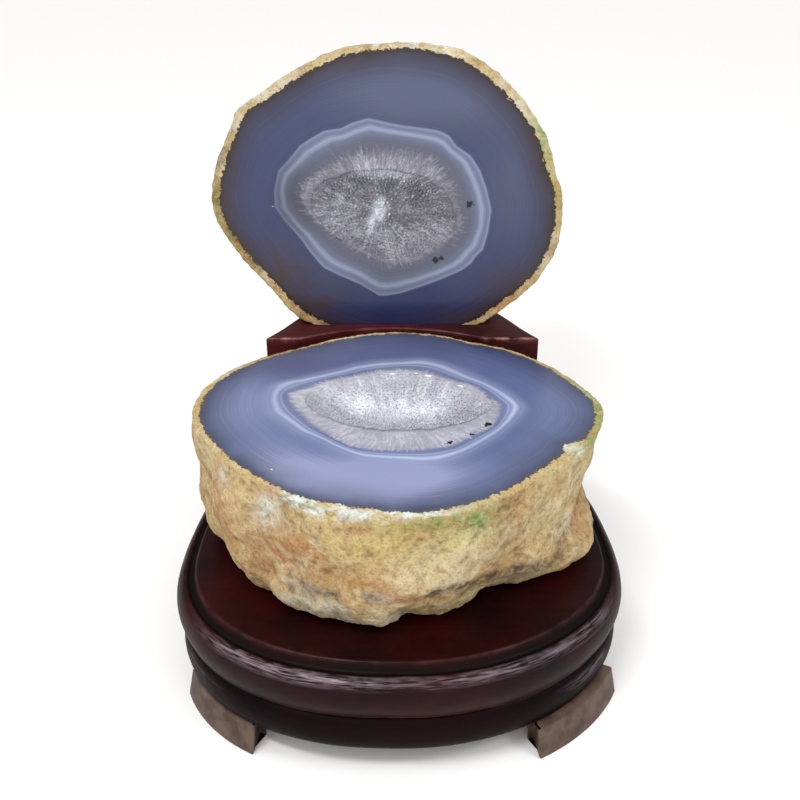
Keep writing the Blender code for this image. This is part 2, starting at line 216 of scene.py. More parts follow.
def meshWithModifiers(piece):
    bpy.context.view_layer.update()
    return bpy.data.meshes.new_from_object(piece.evaluated_get(bpy.context.evaluated_depsgraph_get()))


def placePiece(name, mesh, material, node, matrix=None, sharpFrom=None):
    # links a finished mesh, puts its place in its points, and rides it on the only body
    if matrix is not None:
        mesh.transform(matrix)
    if sharpFrom is not None:
        mesh.shade_smooth()
        mesh.set_sharp_from_angle(angle=math.radians(sharpFrom))
    count = turnOutward(mesh)
    piece = linkObject(name, mesh)
    if material:
        mesh.materials.append(material)
    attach(piece, "root")
    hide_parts(node)
    print("made", name, "with", count, "triangles")


# Camera at the photo's angle, for a square frame

cameraPlace = {"pitch": 30.8, "distance": 0.40746, "rise": -0.00275, "lens": 50.0, "sensor": 36.0}
faceMiddle = Vector((0.0, -0.0255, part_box("lower_half")[1].z))
pitch = math.radians(cameraPlace["pitch"])
ahead = Vector((0.0, math.cos(pitch), -math.sin(pitch)))
upward = Vector((0.0, math.sin(pitch), math.cos(pitch)))
cameraData = bpy.data.cameras.new("photoCamera")
cameraData.sensor_width = cameraPlace["sensor"]
cameraData.lens = cameraPlace["lens"]
camera = linkObject("photoCamera", cameraData)
camera.location = faceMiddle - ahead * cameraPlace["distance"] - upward * cameraPlace["rise"]
camera.rotation_euler = (math.pi / 2 - pitch, 0.0, 0.0)
bpy.context.scene.camera = camera
bpy.context.scene.view_settings.view_transform = "Standard"


# Pale floor and soft studio light

studio = {
    "floorSize": 12.0,
    "floorColour": "#f8f7f5",
    # the sky from low behind the object, past the sides, to overhead
    "sky": ((0.0, "#a2a2a4"), (0.40, "#b4b4b6"), (0.65, "#dcdcdd"), (1.0, "#ffffff")),
    "skyTilt": -0.6, "skyStrength": 1.22,
    # name, place, point it faces, width, height, watts
    "lights": (("overheadStrip", (-0.22, -0.40, 0.76), (0.0, -0.06, 0.04), 0.34, 0.07, 2.6),
               ("rightSoftbox", (0.50, -0.35, 0.62), (0.05, -0.06, 0.04), 0.16, 0.14, 1.1),
               ("frontSoftbox", (-0.60, -0.85, 0.95), (0.0, 0.0, 0.10), 0.40, 0.40, 0.8)),
}


def makeStudio():
    half = studio["floorSize"] / 2
    mesh = bpy.data.meshes.new("paleFloor")
    corners = [(-half, -half, 0), (half, -half, 0), (half, half, 0), (-half, half, 0)]
    mesh.from_pydata(corners, [], [(0, 1, 2, 3)])
    floor = linkObject("paleFloor", mesh)
    material, add, dress = newMaterial("matteStudioPaper")
    dress({"Base Color": linear(studio["floorColour"]), "Roughness": 0.9, "Specular IOR Level": 0.1})
    mesh.materials.append(material)

    world = bpy.data.worlds.new("softSky")
    world.use_nodes = True
    tree = world.node_tree
    add = partial(addNode, tree)
    heading = add("TexCoord", output="Generated")
    forward = add("SeparateXYZ", (heading,), output="Y")
    height = add("SeparateXYZ", (heading,), output="Z")
    level = add("Math", (forward, studio["skyTilt"], height), operation="MULTIPLY_ADD")
    level = add("MapRange", (level, studio["skyTilt"], 1.0))
    colour = add("ValToRGB", (level,), stops=studio["sky"])
    setInputs(tree, tree.nodes["Background"], {"Color": colour, "Strength": studio["skyStrength"]})
    bpy.context.scene.world = world

    for name, place, target, width, height, watts in studio["lights"]:
        data = bpy.data.lights.new(name, "AREA")
        data.shape = "RECTANGLE"
        data.size = width
        data.size_y = height
        data.energy = watts
        lamp = linkObject(name, data)
        lamp.location = place
        lamp.rotation_euler = (Vector(target) - Vector(place)).to_track_quat("-Z", "Y").to_euler()


makeStudio()
print("camera, floor and light made")


# The two halves of the nodule

flankDepths = (0.0, 0.2, 0.45, 0.65, 0.85, 1.0)
hollowShape = {
    "depth": 0.0130, "lip": 0.0025, "curve": 2.4, "skin": 0.0025, "wallParts": (0.2, 0.55, 0.84, 1.0),
}

lowerHalf = {
    "name": "lowerStone", "node": "lower_half", "matrix": Matrix.Translation(faceMiddle),
    "rim": [(74, 2), (68, 17), (59, 31), (44, 45), (29, 52), (12, 59), (-8, 60), (-23, 56), (-40, 47),
        (-59, 35), (-69, 24), (-75, 10), (-75, -7), (-66, -26), (-56, -39), (-43, -51), (-29, -60),
        (-9, -65), (9, -66), (22, -62), (36, -54), (48, -43), (60, -30), (70, -17)],
    # how wide the rind is on the cut face, by direction in degrees
    "rindWidth": [(-180, 2.6), (-150, 2.4), (-130, 2.4), (-110, 3.0), (-90, 2.4), (-60, 2.4), (-30, 2.8),
        (-24, 5.5), (-19, 2.8), (0, 2.8), (20, 2.2), (45, 1.8), (90, 1.6), (135, 1.8), (180, 2.6)],
    "whiteBand": [(-48, 5), (-48, 11), (-47, 16), (-44, 19), (-38, 21), (-31, 24), (-23, 28), (-18, 31),
        (-12, 33), (0, 35), (9, 36), (16, 33), (23, 27), (27, 23), (34, 17), (41, 8), (44, 1), (42, -5),
        (36, -15), (28, -24), (21, -30), (14, -34), (9, -35), (0, -34), (-13, -32), (-21, -27),
        (-28, -21), (-35, -16), (-41, -9), (-46, -3)],
    "bandStraightness": 0.35,
    "crystalEdge": [(-41, 10), (-34, 14), (-27, 20), (-18, 23), (-8, 27), (0, 28), (10, 26), (19, 20),
        (27, 16), (33, 7), (36, 2), (33, -12), (25, -19), (18, -25), (10, -27), (1, -28), (-16, -26),
        (-28, -15), (-36, -3)],
    "hollow": [(34, 3), (25, 15), (18, 19), (9, 25), (-1, 26), (-17, 22), (-30, 14), (-35, 7), (-31, -2),
        (-23, -9), (-11, -14), (2, -15), (15, -13), (26, -8)],
    "middle": (-1, 5),
    "thickness": 0.0557,
    # how wide the flank is at each depth, on the right, back, left and front
    "flank": ((1.0, 0.975, 0.945, 0.965, 1.03, 0.93), (1.0, 1.0, 0.98, 0.95, 0.90, 0.78),
        (1.0, 1.01, 1.0, 0.985, 0.965, 0.88), (1.0, 1.0, 0.99, 0.98, 0.96, 0.90)),
    "seed": 4.0, "lumps": 1.35, "ledge": 0.18, "backSwell": 0.0,
    # on the bowl the pale field is partly tone, partly a painted sheen of reflection, brightest in front
    # pale places on the polished face: x, y, half width, half height in mm, strength
    "pale": ((-15, -48, 40, 16, 0.75), (-58, 2, 16, 22, 0.26), (5, -42, 26, 9, 0.35),
        (-40, -34, 18, 14, 0.25), (60, -2, 14, 20, 0.16), (30, -42, 18, 12, -0.12),
        (10, 48, 60, 16, -0.22), (-42, 30, 18, 10, -0.36), (45, 30, 24, 14, -0.12)),
    "paleBase": 0.42,
    "brown": ((62, 22, 12, 14, 0.25), (-20, 52, 40, 6, 0.25), (52, -36, 16, 10, 0.2)),
    # how much the white band and its stripes lighten, and where the quartz is white
    "glow": ((0, -32, 26, 5, 0.20), (42, 0, 10, 14, 0.18), (-46, 6, 10, 14, -0.10)),
    "white": ((-4, 14, 19, 7.5, 0.52), (-17, 14, 8, 4, 0.22), (12, 12, 8, 5, 0.30),
        (0, -22, 28, 6, 0.08)),
    # marks on the rind: degrees round the stone, depth, half width, half height in mm, strength
    "yellow": ((-90, 9, 24, 10, 1.0), (-75, 16, 16, 9, 0.6), (-139, 5, 6, 9, 0.7), (-106, 15, 14, 8, 0.7),
        (-30, 8, 16, 8, 0.4), (-120, 44, 10, 6, 0.4), (150, 12, 20, 10, 0.6)),
    "rust": ((-152, 14, 4, 14, 1.0), (-150, 30, 6, 9, 0.7), (-134, 3, 8, 4, 0.7), (-119, 20, 11, 8, 0.95),
        (-127, 32, 11, 8, 0.8), (-136, 22, 8, 11, 0.6), (-84, 37, 12, 5, 0.9), (-100, 31, 14, 7, 0.7),
        (-16, 37, 6, 9, 0.9), (-52, 36, 10, 3, 0.6), (-102, 6, 5, 3, 0.8), (60, 20, 16, 12, 0.7),
        (120, 30, 18, 10, 0.7), (170, 24, 12, 14, 0.5)),
    "green": ((-80, 3, 9, 3.0, 1.0), (-67, 6, 8, 5, 1.0), (-63, 10, 6, 4, 0.6), (-90, 5, 7, 2, 0.5),
        (0, 1, 14, 4, 1.0), (-19, 1, 7, 3.5, 0.8), (-119, 0.5, 5, 1.2, 0.9), (20, 2, 12, 4, 0.7),
        (100, 8, 14, 8, 0.5)),
    "chalk": ((-78, 0.2, 9, 0.6, 0.6), (-131, 8, 4.5, 4.5, 1.0), (-134, 15, 4, 4, 0.8),
        (-121, 1, 6, 2.4, 1.3), (-111, 1.4, 10, 2.2, 1.7), (-100, 1.0, 9, 1.8, 1.7),
        (-90, 0.4, 9, 0.9, 1.4), (-24, 1, 4, 3, 0.8), (-24, 33, 8, 5, 0.5), (-60, 20, 14, 8, 0.25),
        (-124, 48, 8, 3, 0.6), (-112, 43, 9, 2.5, 0.5), (-110, 50, 11, 4, 0.7), (-95, 52, 9, 4, 0.6),
        (-150, 6, 4, 4, 0.4)),
    "grey": ((-118, 39, 8, 4, 1.4), (-112, 45, 10, 3, 1.0), (-97, 35, 5, 3, 1.0), (-43, 44, 5, 3.5, 1.3),
        (-126, 45, 8, 5, 0.6), (80, 40, 18, 8, 0.7), (150, 44, 20, 8, 0.7)),
    "shade": ((-72, 35.5, 12, 2.6, 2.4), (-60, 39, 10, 2.6, 2.4), (-47, 41.5, 9, 2.8, 2.2),
        (-37, 42.5, 8, 2.4, 1.6), (-104, 1.5, 4, 1.0, 0.7), (-25, 44, 8, 3, 0.5),
        (-114, 37.5, 8, 2.0, 0.9), (-98, 33, 3, 1.5, 1.0), (-80, 45, 12, 4, 0.5), (-120, 34, 5, 3, 0.5)),
}

upperHalf = {
    "name": "upperStone", "node": "upper_half",
    "matrix": Matrix.Translation((0.0, 0.065, faceMiddle.z + 0.045))
        @ Matrix.Rotation(math.radians(80.0), 4, "X"),
    "rim": [(68, -5), (67, 5), (64, 13), (60, 26), (53, 37), (40, 51), (28, 59), (12, 63), (-8, 63),
        (-24, 61), (-40, 54), (-56, 44), (-66, 37), (-70, 28), (-76, 14), (-78, 0), (-76, -9), (-68, -22),
        (-56, -36), (-47, -47), (-36, -54), (-20, -59), (0, -60), (20, -58), (36, -52), (47, -44),
        (58, -34), (66, -20)],
    "rindWidth": [(-180, 3.2), (-150, 3.4), (-130, 3.6), (-105, 2.0), (-90, 1.2), (-70, 2.0), (-45, 3.4),
        (0, 3.2), (30, 3.4), (60, 3.6), (90, 2.2), (120, 3.2), (150, 3.4), (180, 3.2)],
    "whiteBand": [(-13, 34), (-20, 32), (-24, 30), (-31, 29), (-38, 25), (-41, 23), (-46, 17), (-50, 13),
        (-52, 5), (-52, 1), (-52, -2), (-48, -8), (-42, -15), (-38, -21), (-34, -26), (-32, -28),
        (-26, -31), (-17, -35), (-9, -40), (-6, -40), (0, -39), (9, -36), (17, -33), (26, -29), (30, -26),
        (32, -23), (35, -20), (37, -12), (38, -3), (37, 1), (36, 5), (33, 13), (29, 19), (23, 23),
        (20, 27), (16, 29), (10, 30), (2, 31), (-4, 32)],
    "bandStraightness": 0.9,
    "crystalEdge": [(-42, 5), (-33, 13), (-25, 17), (-11, 22), (1, 21), (16, 16), (23, 4), (26, -9),
        (19, -18), (7, -25), (-6, -26), (-18, -20), (-29, -13), (-39, -3)],
    "hollow": [(23, -9), (20, 2), (12, 9), (1, 12), (-11, 13), (-24, 11), (-33, 7), (-37, 0), (-34, -7),
        (-27, -14), (-17, -20), (-6, -24), (6, -23), (17, -17)],
    "middle": (-8, -6),
    "thickness": 0.0392,
    "flank": ((1.0, 0.985, 0.91, 0.79, 0.55, 0.22), (1.0, 0.98, 0.90, 0.78, 0.53, 0.20),
        (1.0, 0.985, 0.92, 0.81, 0.57, 0.24), (1.0, 0.985, 0.92, 0.80, 0.55, 0.22)),
    "seed": 9.0, "lumps": 0.6, "ledge": 0.0, "backSwell": 0.0008,
    "pale": ((0, 48, 34, 14, 0.45), (10, 40, 26, 10, 0.30), (50, 12, 18, 26, 0.30),
        (30, 42, 20, 12, 0.15), (-45, 38, 22, 14, 0.05), (-2, -50, 40, 12, -0.35),
        (-62, 0, 14, 26, -0.05), (50, -30, 14, 14, -0.1)),
    "paleBase": 0.42,
    "brown": ((-52, -28, 13, 12, 0.85), (-40, -42, 14, 8, 0.9), (-72, 6, 7, 22, 0.5),
        (50, -34, 12, 8, 0.7), (64, 6, 5, 18, 0.5), (-30, 58, 30, 5, 0.5), (60, 30, 8, 12, 0.6),
        (30, -50, 20, 5, 0.5)),
    "glow": ((-48, -2, 13, 24, -0.46), (-6, -38, 26, 8, -0.12)),
    "white": ((-9, -4.5, 3.0, 4.2, 1.0), (-12.5, -10.5, 1.9, 3.4, 0.7), (-12, 14, 9, 4, 0.55),
        (2, 12, 9, 5, 0.35), (-28, 2, 12, 10, 0.10)),
    "yellow": ((-150, 16, 20, 10, 0.6), (40, 14, 20, 10, 0.6), (90, 12, 20, 8, 0.4)),
    "rust": ((-50, 2, 14, 4, 0.8), (-150, 14, 20, 10, 0.6), (60, 16, 16, 10, 0.7), (140, 10, 20, 8, 0.4),
        (90, 26, 20, 12, 0.6), (-90, 24, 20, 8, 0.5)),
    "green": ((178, 1, 10, 3, 0.35), (-172, 1, 10, 4, 0.25), (24, 1, 9, 4, 1.0), (5, 1, 10, 3, 0.5),
        (30, 18, 14, 8, 0.4)),
    "chalk": ((90, 1, 18, 3, 0.7), (40, 1, 14, 3, 0.6), (140, 2, 20, 4, 0.6), (150, 24, 14, 8, 0.5)),
    "grey": ((-30, 18, 18, 8, 0.6), (110, 20, 14, 9, 0.6), (-120, 16, 12, 6, 0.5)),
    "shade": ((175, 0.5, 22, 2, 0.9), (-155, 0.5, 14, 2, 0.6), (-20, 0.5, 14, 2, 0.4)),
}

stoneDetail = {
    "sides": 480, "flankRings": 86, "backRings": 16,
    "faceRings": {"sawn": 6, "band": 18, "body": 26, "rind": 5},
    "crystalStraightness": 0.3,
    # how far past the rind's inner edge the middle of the face and of the back count as, in mm
    "farInside": -30.0, "farOutside": 60.0,
    # noise on the outlines and the flank: size of one lump and its height, in metres, and its own seed
    "rimRagged": ((0.0042, 0.00045, 3.78), (0.0016, 0.00030, 1.44)),
    "lipWander": (0.004, 0.0009),
    "chipSize": (0.0026, 0.0011), "chipDepth": 0.0006,
    "swell": ((0.022, 0.0030, 0.0), (0.009, 0.0014, 3.1)),
    "sag": (0.013, 0.0022, 7.7),
    # how deep the lumps are whole and the rim's raggedness is gone, as parts of the thickness
    "lumpsWhole": 0.25, "raggedGone": 0.125, "smoothing": 10, "backShare": 0.06,
    # the foot draws in below a ledge in front: its ends in degrees round the stone, and its depth
    "ledgeStart": (-98.0, -86.0), "ledgeEnd": (-62.0, -15.0), "ledgeDepth": 0.6,
    # relief on the rind: size of one lump, its height, and its share of the painted shade and light on the
    # rind
    "relief": ((0.0105, 0.00045, 0.2), (0.0048, 0.00026, 0.35), (0.0023, 0.00017, 0.5),
        (0.0011, 0.00012, 0.5)),
    "knobSize": 0.0034, "knobHeight": 0.00012, "knobLevel": 0.45, "undersideWear": 0.3,
}


def outlineRadius(points, middle, degrees, straightness=0.0):
    # radius in metres in each direction: a smooth curve through the points, or straight facets
    table = sorted((math.degrees(math.atan2(y - middle[1], x - middle[0])),
                    math.hypot(x - middle[0], y - middle[1]) / 1000) for x, y in points)
    table = [(a - 360, r) for a, r in table[-2:]] + table + [(a + 360, r) for a, r in table[:2]]
    turns, radii = np.array(table).T
    i = np.clip(np.searchsorted(turns, degrees, "right") - 1, 1, len(turns) - 3)
    width = turns[i + 1] - turns[i]
    part = (degrees - turns[i]) / width
    slopeA = (radii[i + 1] - radii[i - 1]) / (turns[i + 1] - turns[i - 1])
    slopeB = (radii[i + 2] - radii[i]) / (turns[i + 2] - turns[i])
    p2 = part * part
    p3 = p2 * part
    curve = ((2 * p3 - 3 * p2 + 1) * radii[i] + (p3 - 2 * p2 + part) * width * slopeA
             + (3 * p2 - 2 * p3) * radii[i + 1] + (p3 - p2) * width * slopeB)
    if not straightness:
        return curve
    x = radii * np.cos(np.radians(turns))
    y = radii * np.sin(np.radians(turns))
    dx = x[i + 1] - x[i]
    dy = y[i + 1] - y[i]
    turn = np.radians(degrees)
    facet = (x[i] * dy - y[i] * dx) / (np.cos(turn) * dy - np.sin(turn) * dx)
    return curve * (1 - straightness) + facet * straightness


def flankScale(flank, degrees, depth):
    # blends the four side profiles round the stone at one depth
    sides = np.array([np.interp(depth, flankDepths, side) for side in flank])
    quarter = (degrees % 360.0) / 90.0
    first = quarter.astype(int) % 4
    blend = smoothStep(quarter - np.floor(quarter), 0.0, 1.0)
    return sides[first] * (1 - blend) + sides[(first + 1) % 4] * blend


def hollowLevel(part):
    deeper = hollowShape["depth"] - hollowShape["lip"]
    return hollowShape["lip"] + deeper * (1 - part ** hollowShape["curve"])


def paint(marks, across, along):
    # soft spots: each mark is its place, half sizes and strength in the same units as the coordinates
    total = np.zeros(len(across))
    for x, y, w, h, strength in marks:
        total += strength * np.exp(-((across - x) / w) ** 2 - ((along - y) / h) ** 2)
    return total


def paintRound(marks, degrees, depthMm, armMm=64.0):
    # the same round the flank, where a half width in mm becomes an angle
    total = np.zeros(len(degrees))
    for turn, depth, w, h, strength in marks:
        away = np.radians((degrees - turn + 180) % 360 - 180) * armMm
        total += strength * np.exp(-(away / w) ** 2 - ((depthMm - depth) / h) ** 2)
    return np.clip(total, 0.0, 1.0)


def rayField(half, mm):
    # coordinates that stretch a pattern along the lines from the hollow's middle
    towards = mm[:, :2] - np.array(half["middle"])
    reach = np.linalg.norm(towards, axis=1)
    return np.column_stack([towards / (reach[:, None] + 1e-6) * 28.0, reach * 0.22])


def cutFaceRows(half, degrees, ring, rim, rimSmooth, rindWidth):
    # rings from the hollow's floor to the rim, each with its place among the bands, from 0 at the
    # hollow's lip to 4 at the rim, and how far it is past the rind's inner edge in mm
    detail = stoneDetail
    middle = np.array(half["middle"]) / 1000
    keyRings = []
    for name, straightness in (("hollow", 0.0), ("crystalEdge", detail["crystalStraightness"]),
                               ("whiteBand", half["bandStraightness"])):
        keyRings.append(ring(middle, outlineRadius(half[name], half["middle"], degrees, straightness), 0.0))
    keyRings += [ring(0, rimSmooth - rindWidth, 0.0), ring(0, rim, 0.0)]
    lip = keyRings[0]
    size, height = detail["lipWander"]
    keyRings[0] = lip + ring(0, lumps(lip, size, half["seed"]) * height, 0.0)

    rows = []
    for part in hollowShape["wallParts"]:
        wall = keyRings[0].copy()
        wall[:, :2] = middle + (wall[:, :2] - middle) * part
        wall[:, 2] = -hollowLevel(part)
        rows.append((wall, 0.0, detail["farInside"]))
    for zone, count in enumerate(detail["faceRings"].values()):
        inner, outer = keyRings[zone], keyRings[zone + 1]
        gap = np.linalg.norm(outer - inner, axis=1) * 1000
        for step in range(count + (zone == 3)):
            part = step / count
            past = {2: gap * (part - 1), 3: gap * part}.get(zone, detail["farInside"])
            rows.append((inner + (outer - inner) * part, zone + part, past))
    # the rind's part of the face is chipped and stands a little lower than the polish
    wide, narrow = detail["chipSize"]
    for spots, _, past in rows[-detail["faceRings"]["rind"] - 1:]:
        rough = 0.5 + 0.5 * lumps(spots, wide, half["seed"] + 5) + 0.4 * lumps(spots, narrow, 3.0)
        spots[:, 2] -= np.clip(rough, 0, 1.3) * detail["chipDepth"] * smoothStep(past, 0.0, 1.4)
    return rows


def flankForm(half, degrees, ring, rim, rimSmooth, firstRing):
    # the flank, wide where the profiles say, and then the back or underside
    detail = stoneDetail
    seed = half["seed"]
    thickness = half["thickness"]
    ledge = smoothStep(degrees, *detail["ledgeStart"]) * (1 - smoothStep(degrees, *detail["ledgeEnd"]))
    ledge = ledge * half["ledge"]
    sagSize, sagHeight, sagSeed = detail["sag"]
    base = [firstRing.copy()]
    for step in range(1, detail["flankRings"] + 1):
        depth = step / detail["flankRings"]
        drawnIn = max(0.0, (depth - detail["ledgeDepth"]) / (1 - detail["ledgeDepth"]))
        radius = rimSmooth * (flankScale(half["flank"], degrees, depth) * (1 - ledge * drawnIn))
        spots = ring(0, radius, -thickness * depth)
        fade = min(1.0, depth / detail["lumpsWhole"]) * half["lumps"]
        swell = sum(lumps(spots, size, seed + own) * height for size, height, own in detail["swell"])
        radius = radius + swell * fade + (rim - rimSmooth) * max(0.0, 1 - depth / detail["raggedGone"])
        spots = ring(0, radius, -thickness * depth)
        sag = lumps(spots, sagSize, seed + sagSeed) * sagHeight
        spots[:, 2] += sag * fade * (1 - smoothStep(depth, 0.9, 1.0))
        base.append(spots)
    last = base[-1]
    backRadius = rimSmooth * flankScale(half["flank"], degrees, 1.0)
    inner = ring(0, backRadius * detail["backShare"], -thickness - half["backSwell"])
    for step in range(1, detail["backRings"] + 1):
        base.append(last + (inner - last) * (step / detail["backRings"]))
    base = np.array(base)
    for _ in range(detail["smoothing"]):
        base[1:-1] = base[1:-1] * 0.5 + (base[:-2] + base[2:]) * 0.25
    return base


def addRelief(half, base):
    # relief along the surface's own direction, fading to nothing at the rim; hands back how high it is
    detail = stoneDetail
    thickness = half["thickness"]
    around = np.roll(base, -1, axis=1) - np.roll(base, 1, axis=1)
    normals = np.cross(np.gradient(base, axis=0), around)
    normals /= np.linalg.norm(normals, axis=2, keepdims=True) + 1e-12
    outward = base - np.array([0.0, 0.0, -thickness * 0.5])
    normals *= np.sign((normals * outward).sum(axis=2, keepdims=True))
    flat = base.reshape(-1, 3)
    knobs = np.array([noise.voronoi(Vector(p) / detail["knobSize"])[0][0] for p in flat])
    relief = (detail["knobLevel"] - knobs) * detail["knobHeight"]
    # tone: how high the relief is; the rind's colour paints shade in its pits and light on its bumps
    tone = (detail["knobLevel"] - knobs) * 0.5
    for order, (size, height, share) in enumerate(detail["relief"]):
        layer = lumps(flat, size, half["seed"] + 11 + order * 5)
        relief += layer * height
        tone += layer * share
    depthMm = -base[:, :, 2] * 1000
    relief = relief.reshape(base.shape[:2])
    relief *= 0.8 + 1.5 * smoothStep(depthMm / (thickness * 1000), 0.45, 0.95)
    relief *= smoothStep(depthMm, 0.0, 2.0)
    if half is lowerHalf:
        # the underside is worn flat where it rests on the board
        relief[-detail["backRings"] - 2:] *= detail["undersideWear"]
    shaped = base + normals * relief[:, :, None]
    if half is lowerHalf:
        shaped[:, :, 2] = np.maximum(shaped[:, :, 2], -thickness)
    return shaped, depthMm, tone.reshape(base.shape[:2])


def makeStone(half, material):
    degrees, compass = directions(stoneDetail["sides"])
    ring = partial(levelRing, compass)
    rimSmooth = outlineRadius(half["rim"], (0, 0), degrees)
    rim = rimSmooth.copy()
    for size, height, own in stoneDetail["rimRagged"]:
        rim += lumps(ring(0, rimSmooth, 0.0), size, half["seed"] + own) * height
    rindWidth = np.interp(degrees, *zip(*half["rindWidth"])) / 1000
    rows = cutFaceRows(half, degrees, ring, rim, rimSmooth, rindWidth)
    rows = [(*row, 0.0) for row in rows]
    base = flankForm(half, degrees, ring, rim, rimSmooth, rows[-1][0])
    base, depthMm, tone = addRelief(half, base)
    for row in range(1, len(base)):
        rows.append((base[row], 4.0, rindWidth * 1000 + depthMm[row], tone[row]))

    floorPole = (*(np.array(half["middle"]) / 1000), -hollowShape["depth"])
    backPole = (0.0, 0.0, float(rows[-1][0][:, 2].mean()))
    mesh, mm = skinRows(half["name"], rows, floorPole, backPole, band=(0.0, 4.0),
                        edge=(stoneDetail["farInside"], stoneDetail["farOutside"]), relief=(0.0, 0.0))
    x, y, z = mm.T
    setAttributes(mesh, pale=half["paleBase"] + paint(half["pale"], x, y), ray=rayField(half, mm),
                  glow=1 + paint(half["glow"], x, y), white=paint(half["white"], x, y),
                  brown=np.clip(paint(half["brown"], x, y), 0, 1))
    allDegrees = np.append(np.tile(degrees, len(rows)), (0.0, 0.0))
    for name, *_ in rindLooks["marks"]:
        setAttributes(mesh, **{name: paintRound(half[name], allDegrees, np.maximum(0.0, -z))})
    mesh.shade_smooth()
    placePiece(half["name"], mesh, material, half["node"], half["matrix"])


# Polished chalcedony in a weathered rind. The polish shows its colour bands under a soft gloss,
# the rind is dull, sandy and pitted. Scales are in features per metre, worked out from millimetres.
lowerLooks = {
    "name": "bandedAgateBowl",
    "bodyStops": ((0.0, "#3f436a"), (0.25, "#4c5479"), (0.5, "#58658b"), (0.75, "#6b7496"),
        (1.0, "#858bac")),
    "bandStops": ((0.50, "#8f909c"), (0.56, "#757b95"), (0.64, "#6a7392"), (0.71, "#737c9a"),
        (0.755, "#8f98b0"), (0.785, "#7b84a1"), (0.815, "#7f88a5"), (0.86, "#9ba3ba"), (0.93, "#a9b0c4"),
        (1.0, "#959db6")),
    "bandEdge": 0.17, "lineCount": 26.0, "lineStrength": 0.17, "cloudStrength": 0.22,
    "rimColour": "#2f344e", "rimReach": 16.0, "rimStrength": 1.0, "rimNear": 0.55,
    "brownColour": "#4f4852",
    "quartzStops": ((0.0, "#77767f"), (0.3, "#93929b"), (0.6, "#aeafba"), (0.85, "#ced1db"),
        (1.0, "#f4f7ff")),
    # the crystal level paints the crust lighter against the shade in its hollow
    "quartzContrast": 0.42, "sawnLevel": 0.00, "crystalLevel": 0.20,
    "toothColour": "#4a463f", "toothStrength": 0.5,
    "specks": (((31.5, -11.5), 1.5, "#10111a"), ((25.5, -18.5), 0.9, "#10111a"),
        ((17.4, -23.5), 1.0, "#10111a"), ((16.0, -24.6), 0.5, "#10111a"),
        ((-43.0, -40.0), 0.5, "#f2f3f7")),
}
upperLooks = {
    "name": "bandedAgateLid",
    "bodyStops": ((0.0, "#1e2249"), (0.25, "#2a2f53"), (0.5, "#353b5c"), (0.75, "#414662"),
        (1.0, "#4a4f6b")),
    "bandStops": ((0.50, "#5c5d68"), (0.66, "#5f6170"), (0.76, "#666b7e"), (0.80, "#757b8f"),
        (0.835, "#8c92a5"), (0.865, "#9096a9"), (0.89, "#7b8198"), (0.93, "#6a7087"), (0.965, "#757b92"),
        (1.0, "#858ca1")),
    "bandEdge": 0.02, "lineCount": 26.0, "lineStrength": 0.20, "cloudStrength": 0.22,
    "rimColour": "#2a1d20", "rimReach": 14.0, "rimStrength": 1.0, "rimNear": 1.0,
    "brownColour": "#38292a",
    "quartzStops": ((0.0, "#5c5a65"), (0.3, "#706f7a"), (0.6, "#8f8e98"), (0.85, "#b2b2ba"),
        (1.0, "#e6eef8")),
    # the crystal level paints the crust lighter against the shade in its hollow
    "quartzContrast": 0.72, "sawnLevel": -0.25, "crystalLevel": 0.36,
    "toothColour": "#261b14", "toothStrength": 1.0,
    "specks": (((29.0, -0.6), 1.5, "#08080c"), ((15.0, -24.4), 1.6, "#08080c"),
        ((17.4, -23.6), 1.0, "#08080c"), ((-52.6, -1.6), 0.5, "#c9ccd8")),
}
rindLooks = {
    "sandStops": ((0.34, "#9c7b4e"), (0.44, "#b59963"), (0.55, "#bda97d"), (0.66, "#c9bb99")),
    # mark, colour, strength, scale of its ragged edge
    "marks": (("yellow", "#bdab66", 0.70, 110.0), ("rust", "#a2652d", 0.95, 190.0),
        ("shade", "#4a3019", 0.95, 160.0), ("green", "#71893c", 1.0, 260.0),
        ("grey", "#857c73", 0.85, 170.0), ("chalk", "#d4dfda", 0.92, 190.0)),
}


def quartzShade(add, place, looks):
    # milky threads about a millimetre wide run inwards through grey quartz
    ray = add("Attribute", output="Vector", attribute_name="ray")
    white, tone, rise = (add("Attribute", output="Fac", attribute_name=name)
                         for name in ("white", "tone", "rise"))
    # the crust of points is painted lighter than the sawn quartz round it, against the shade in the hollow
    level = add("MapRange", {"Value": rise, "To Min": looks["sawnLevel"], "To Max": looks["crystalLevel"]})
    bend = add("TexNoise", {"Vector": place, "Scale": 110.0, "Detail": 2.0}, output="Color")
    bend = add("VectorMath", (bend, (3.0, 3.0, 1.5), ray), operation="MULTIPLY_ADD")
    parts = [(white, 0.80), (tone, 0.08)]
    for vector, scale, width, strength in ((bend, 0.34, 0.070, 0.40), (bend, 0.90, 0.070, 0.22),
                                           (place, 330.0, 0.055, 0.18)):
        thread = add("TexNoise", {"Vector": vector, "Scale": scale, "Detail": 3.0, "Roughness": 0.6,
                                  "Distortion": 0.5})
        thread = add("Math", (thread, 0.5), operation="SUBTRACT")
        thread = add("Math", (thread,), operation="ABSOLUTE")
        thread = add("MapRange", (thread, width, 0.0), interpolation_type="SMOOTHSTEP")
        parts.append((thread, strength * looks["quartzContrast"]))
    parts.append((add("TexNoise", {"Vector": place, "Scale": 130.0, "Detail": 3.0}), 0.55))
    for part, strength in parts:
        level = add("Math", (part, strength, level), operation="MULTIPLY_ADD")
    return add("ValToRGB", (level,), stops=looks["quartzStops"])


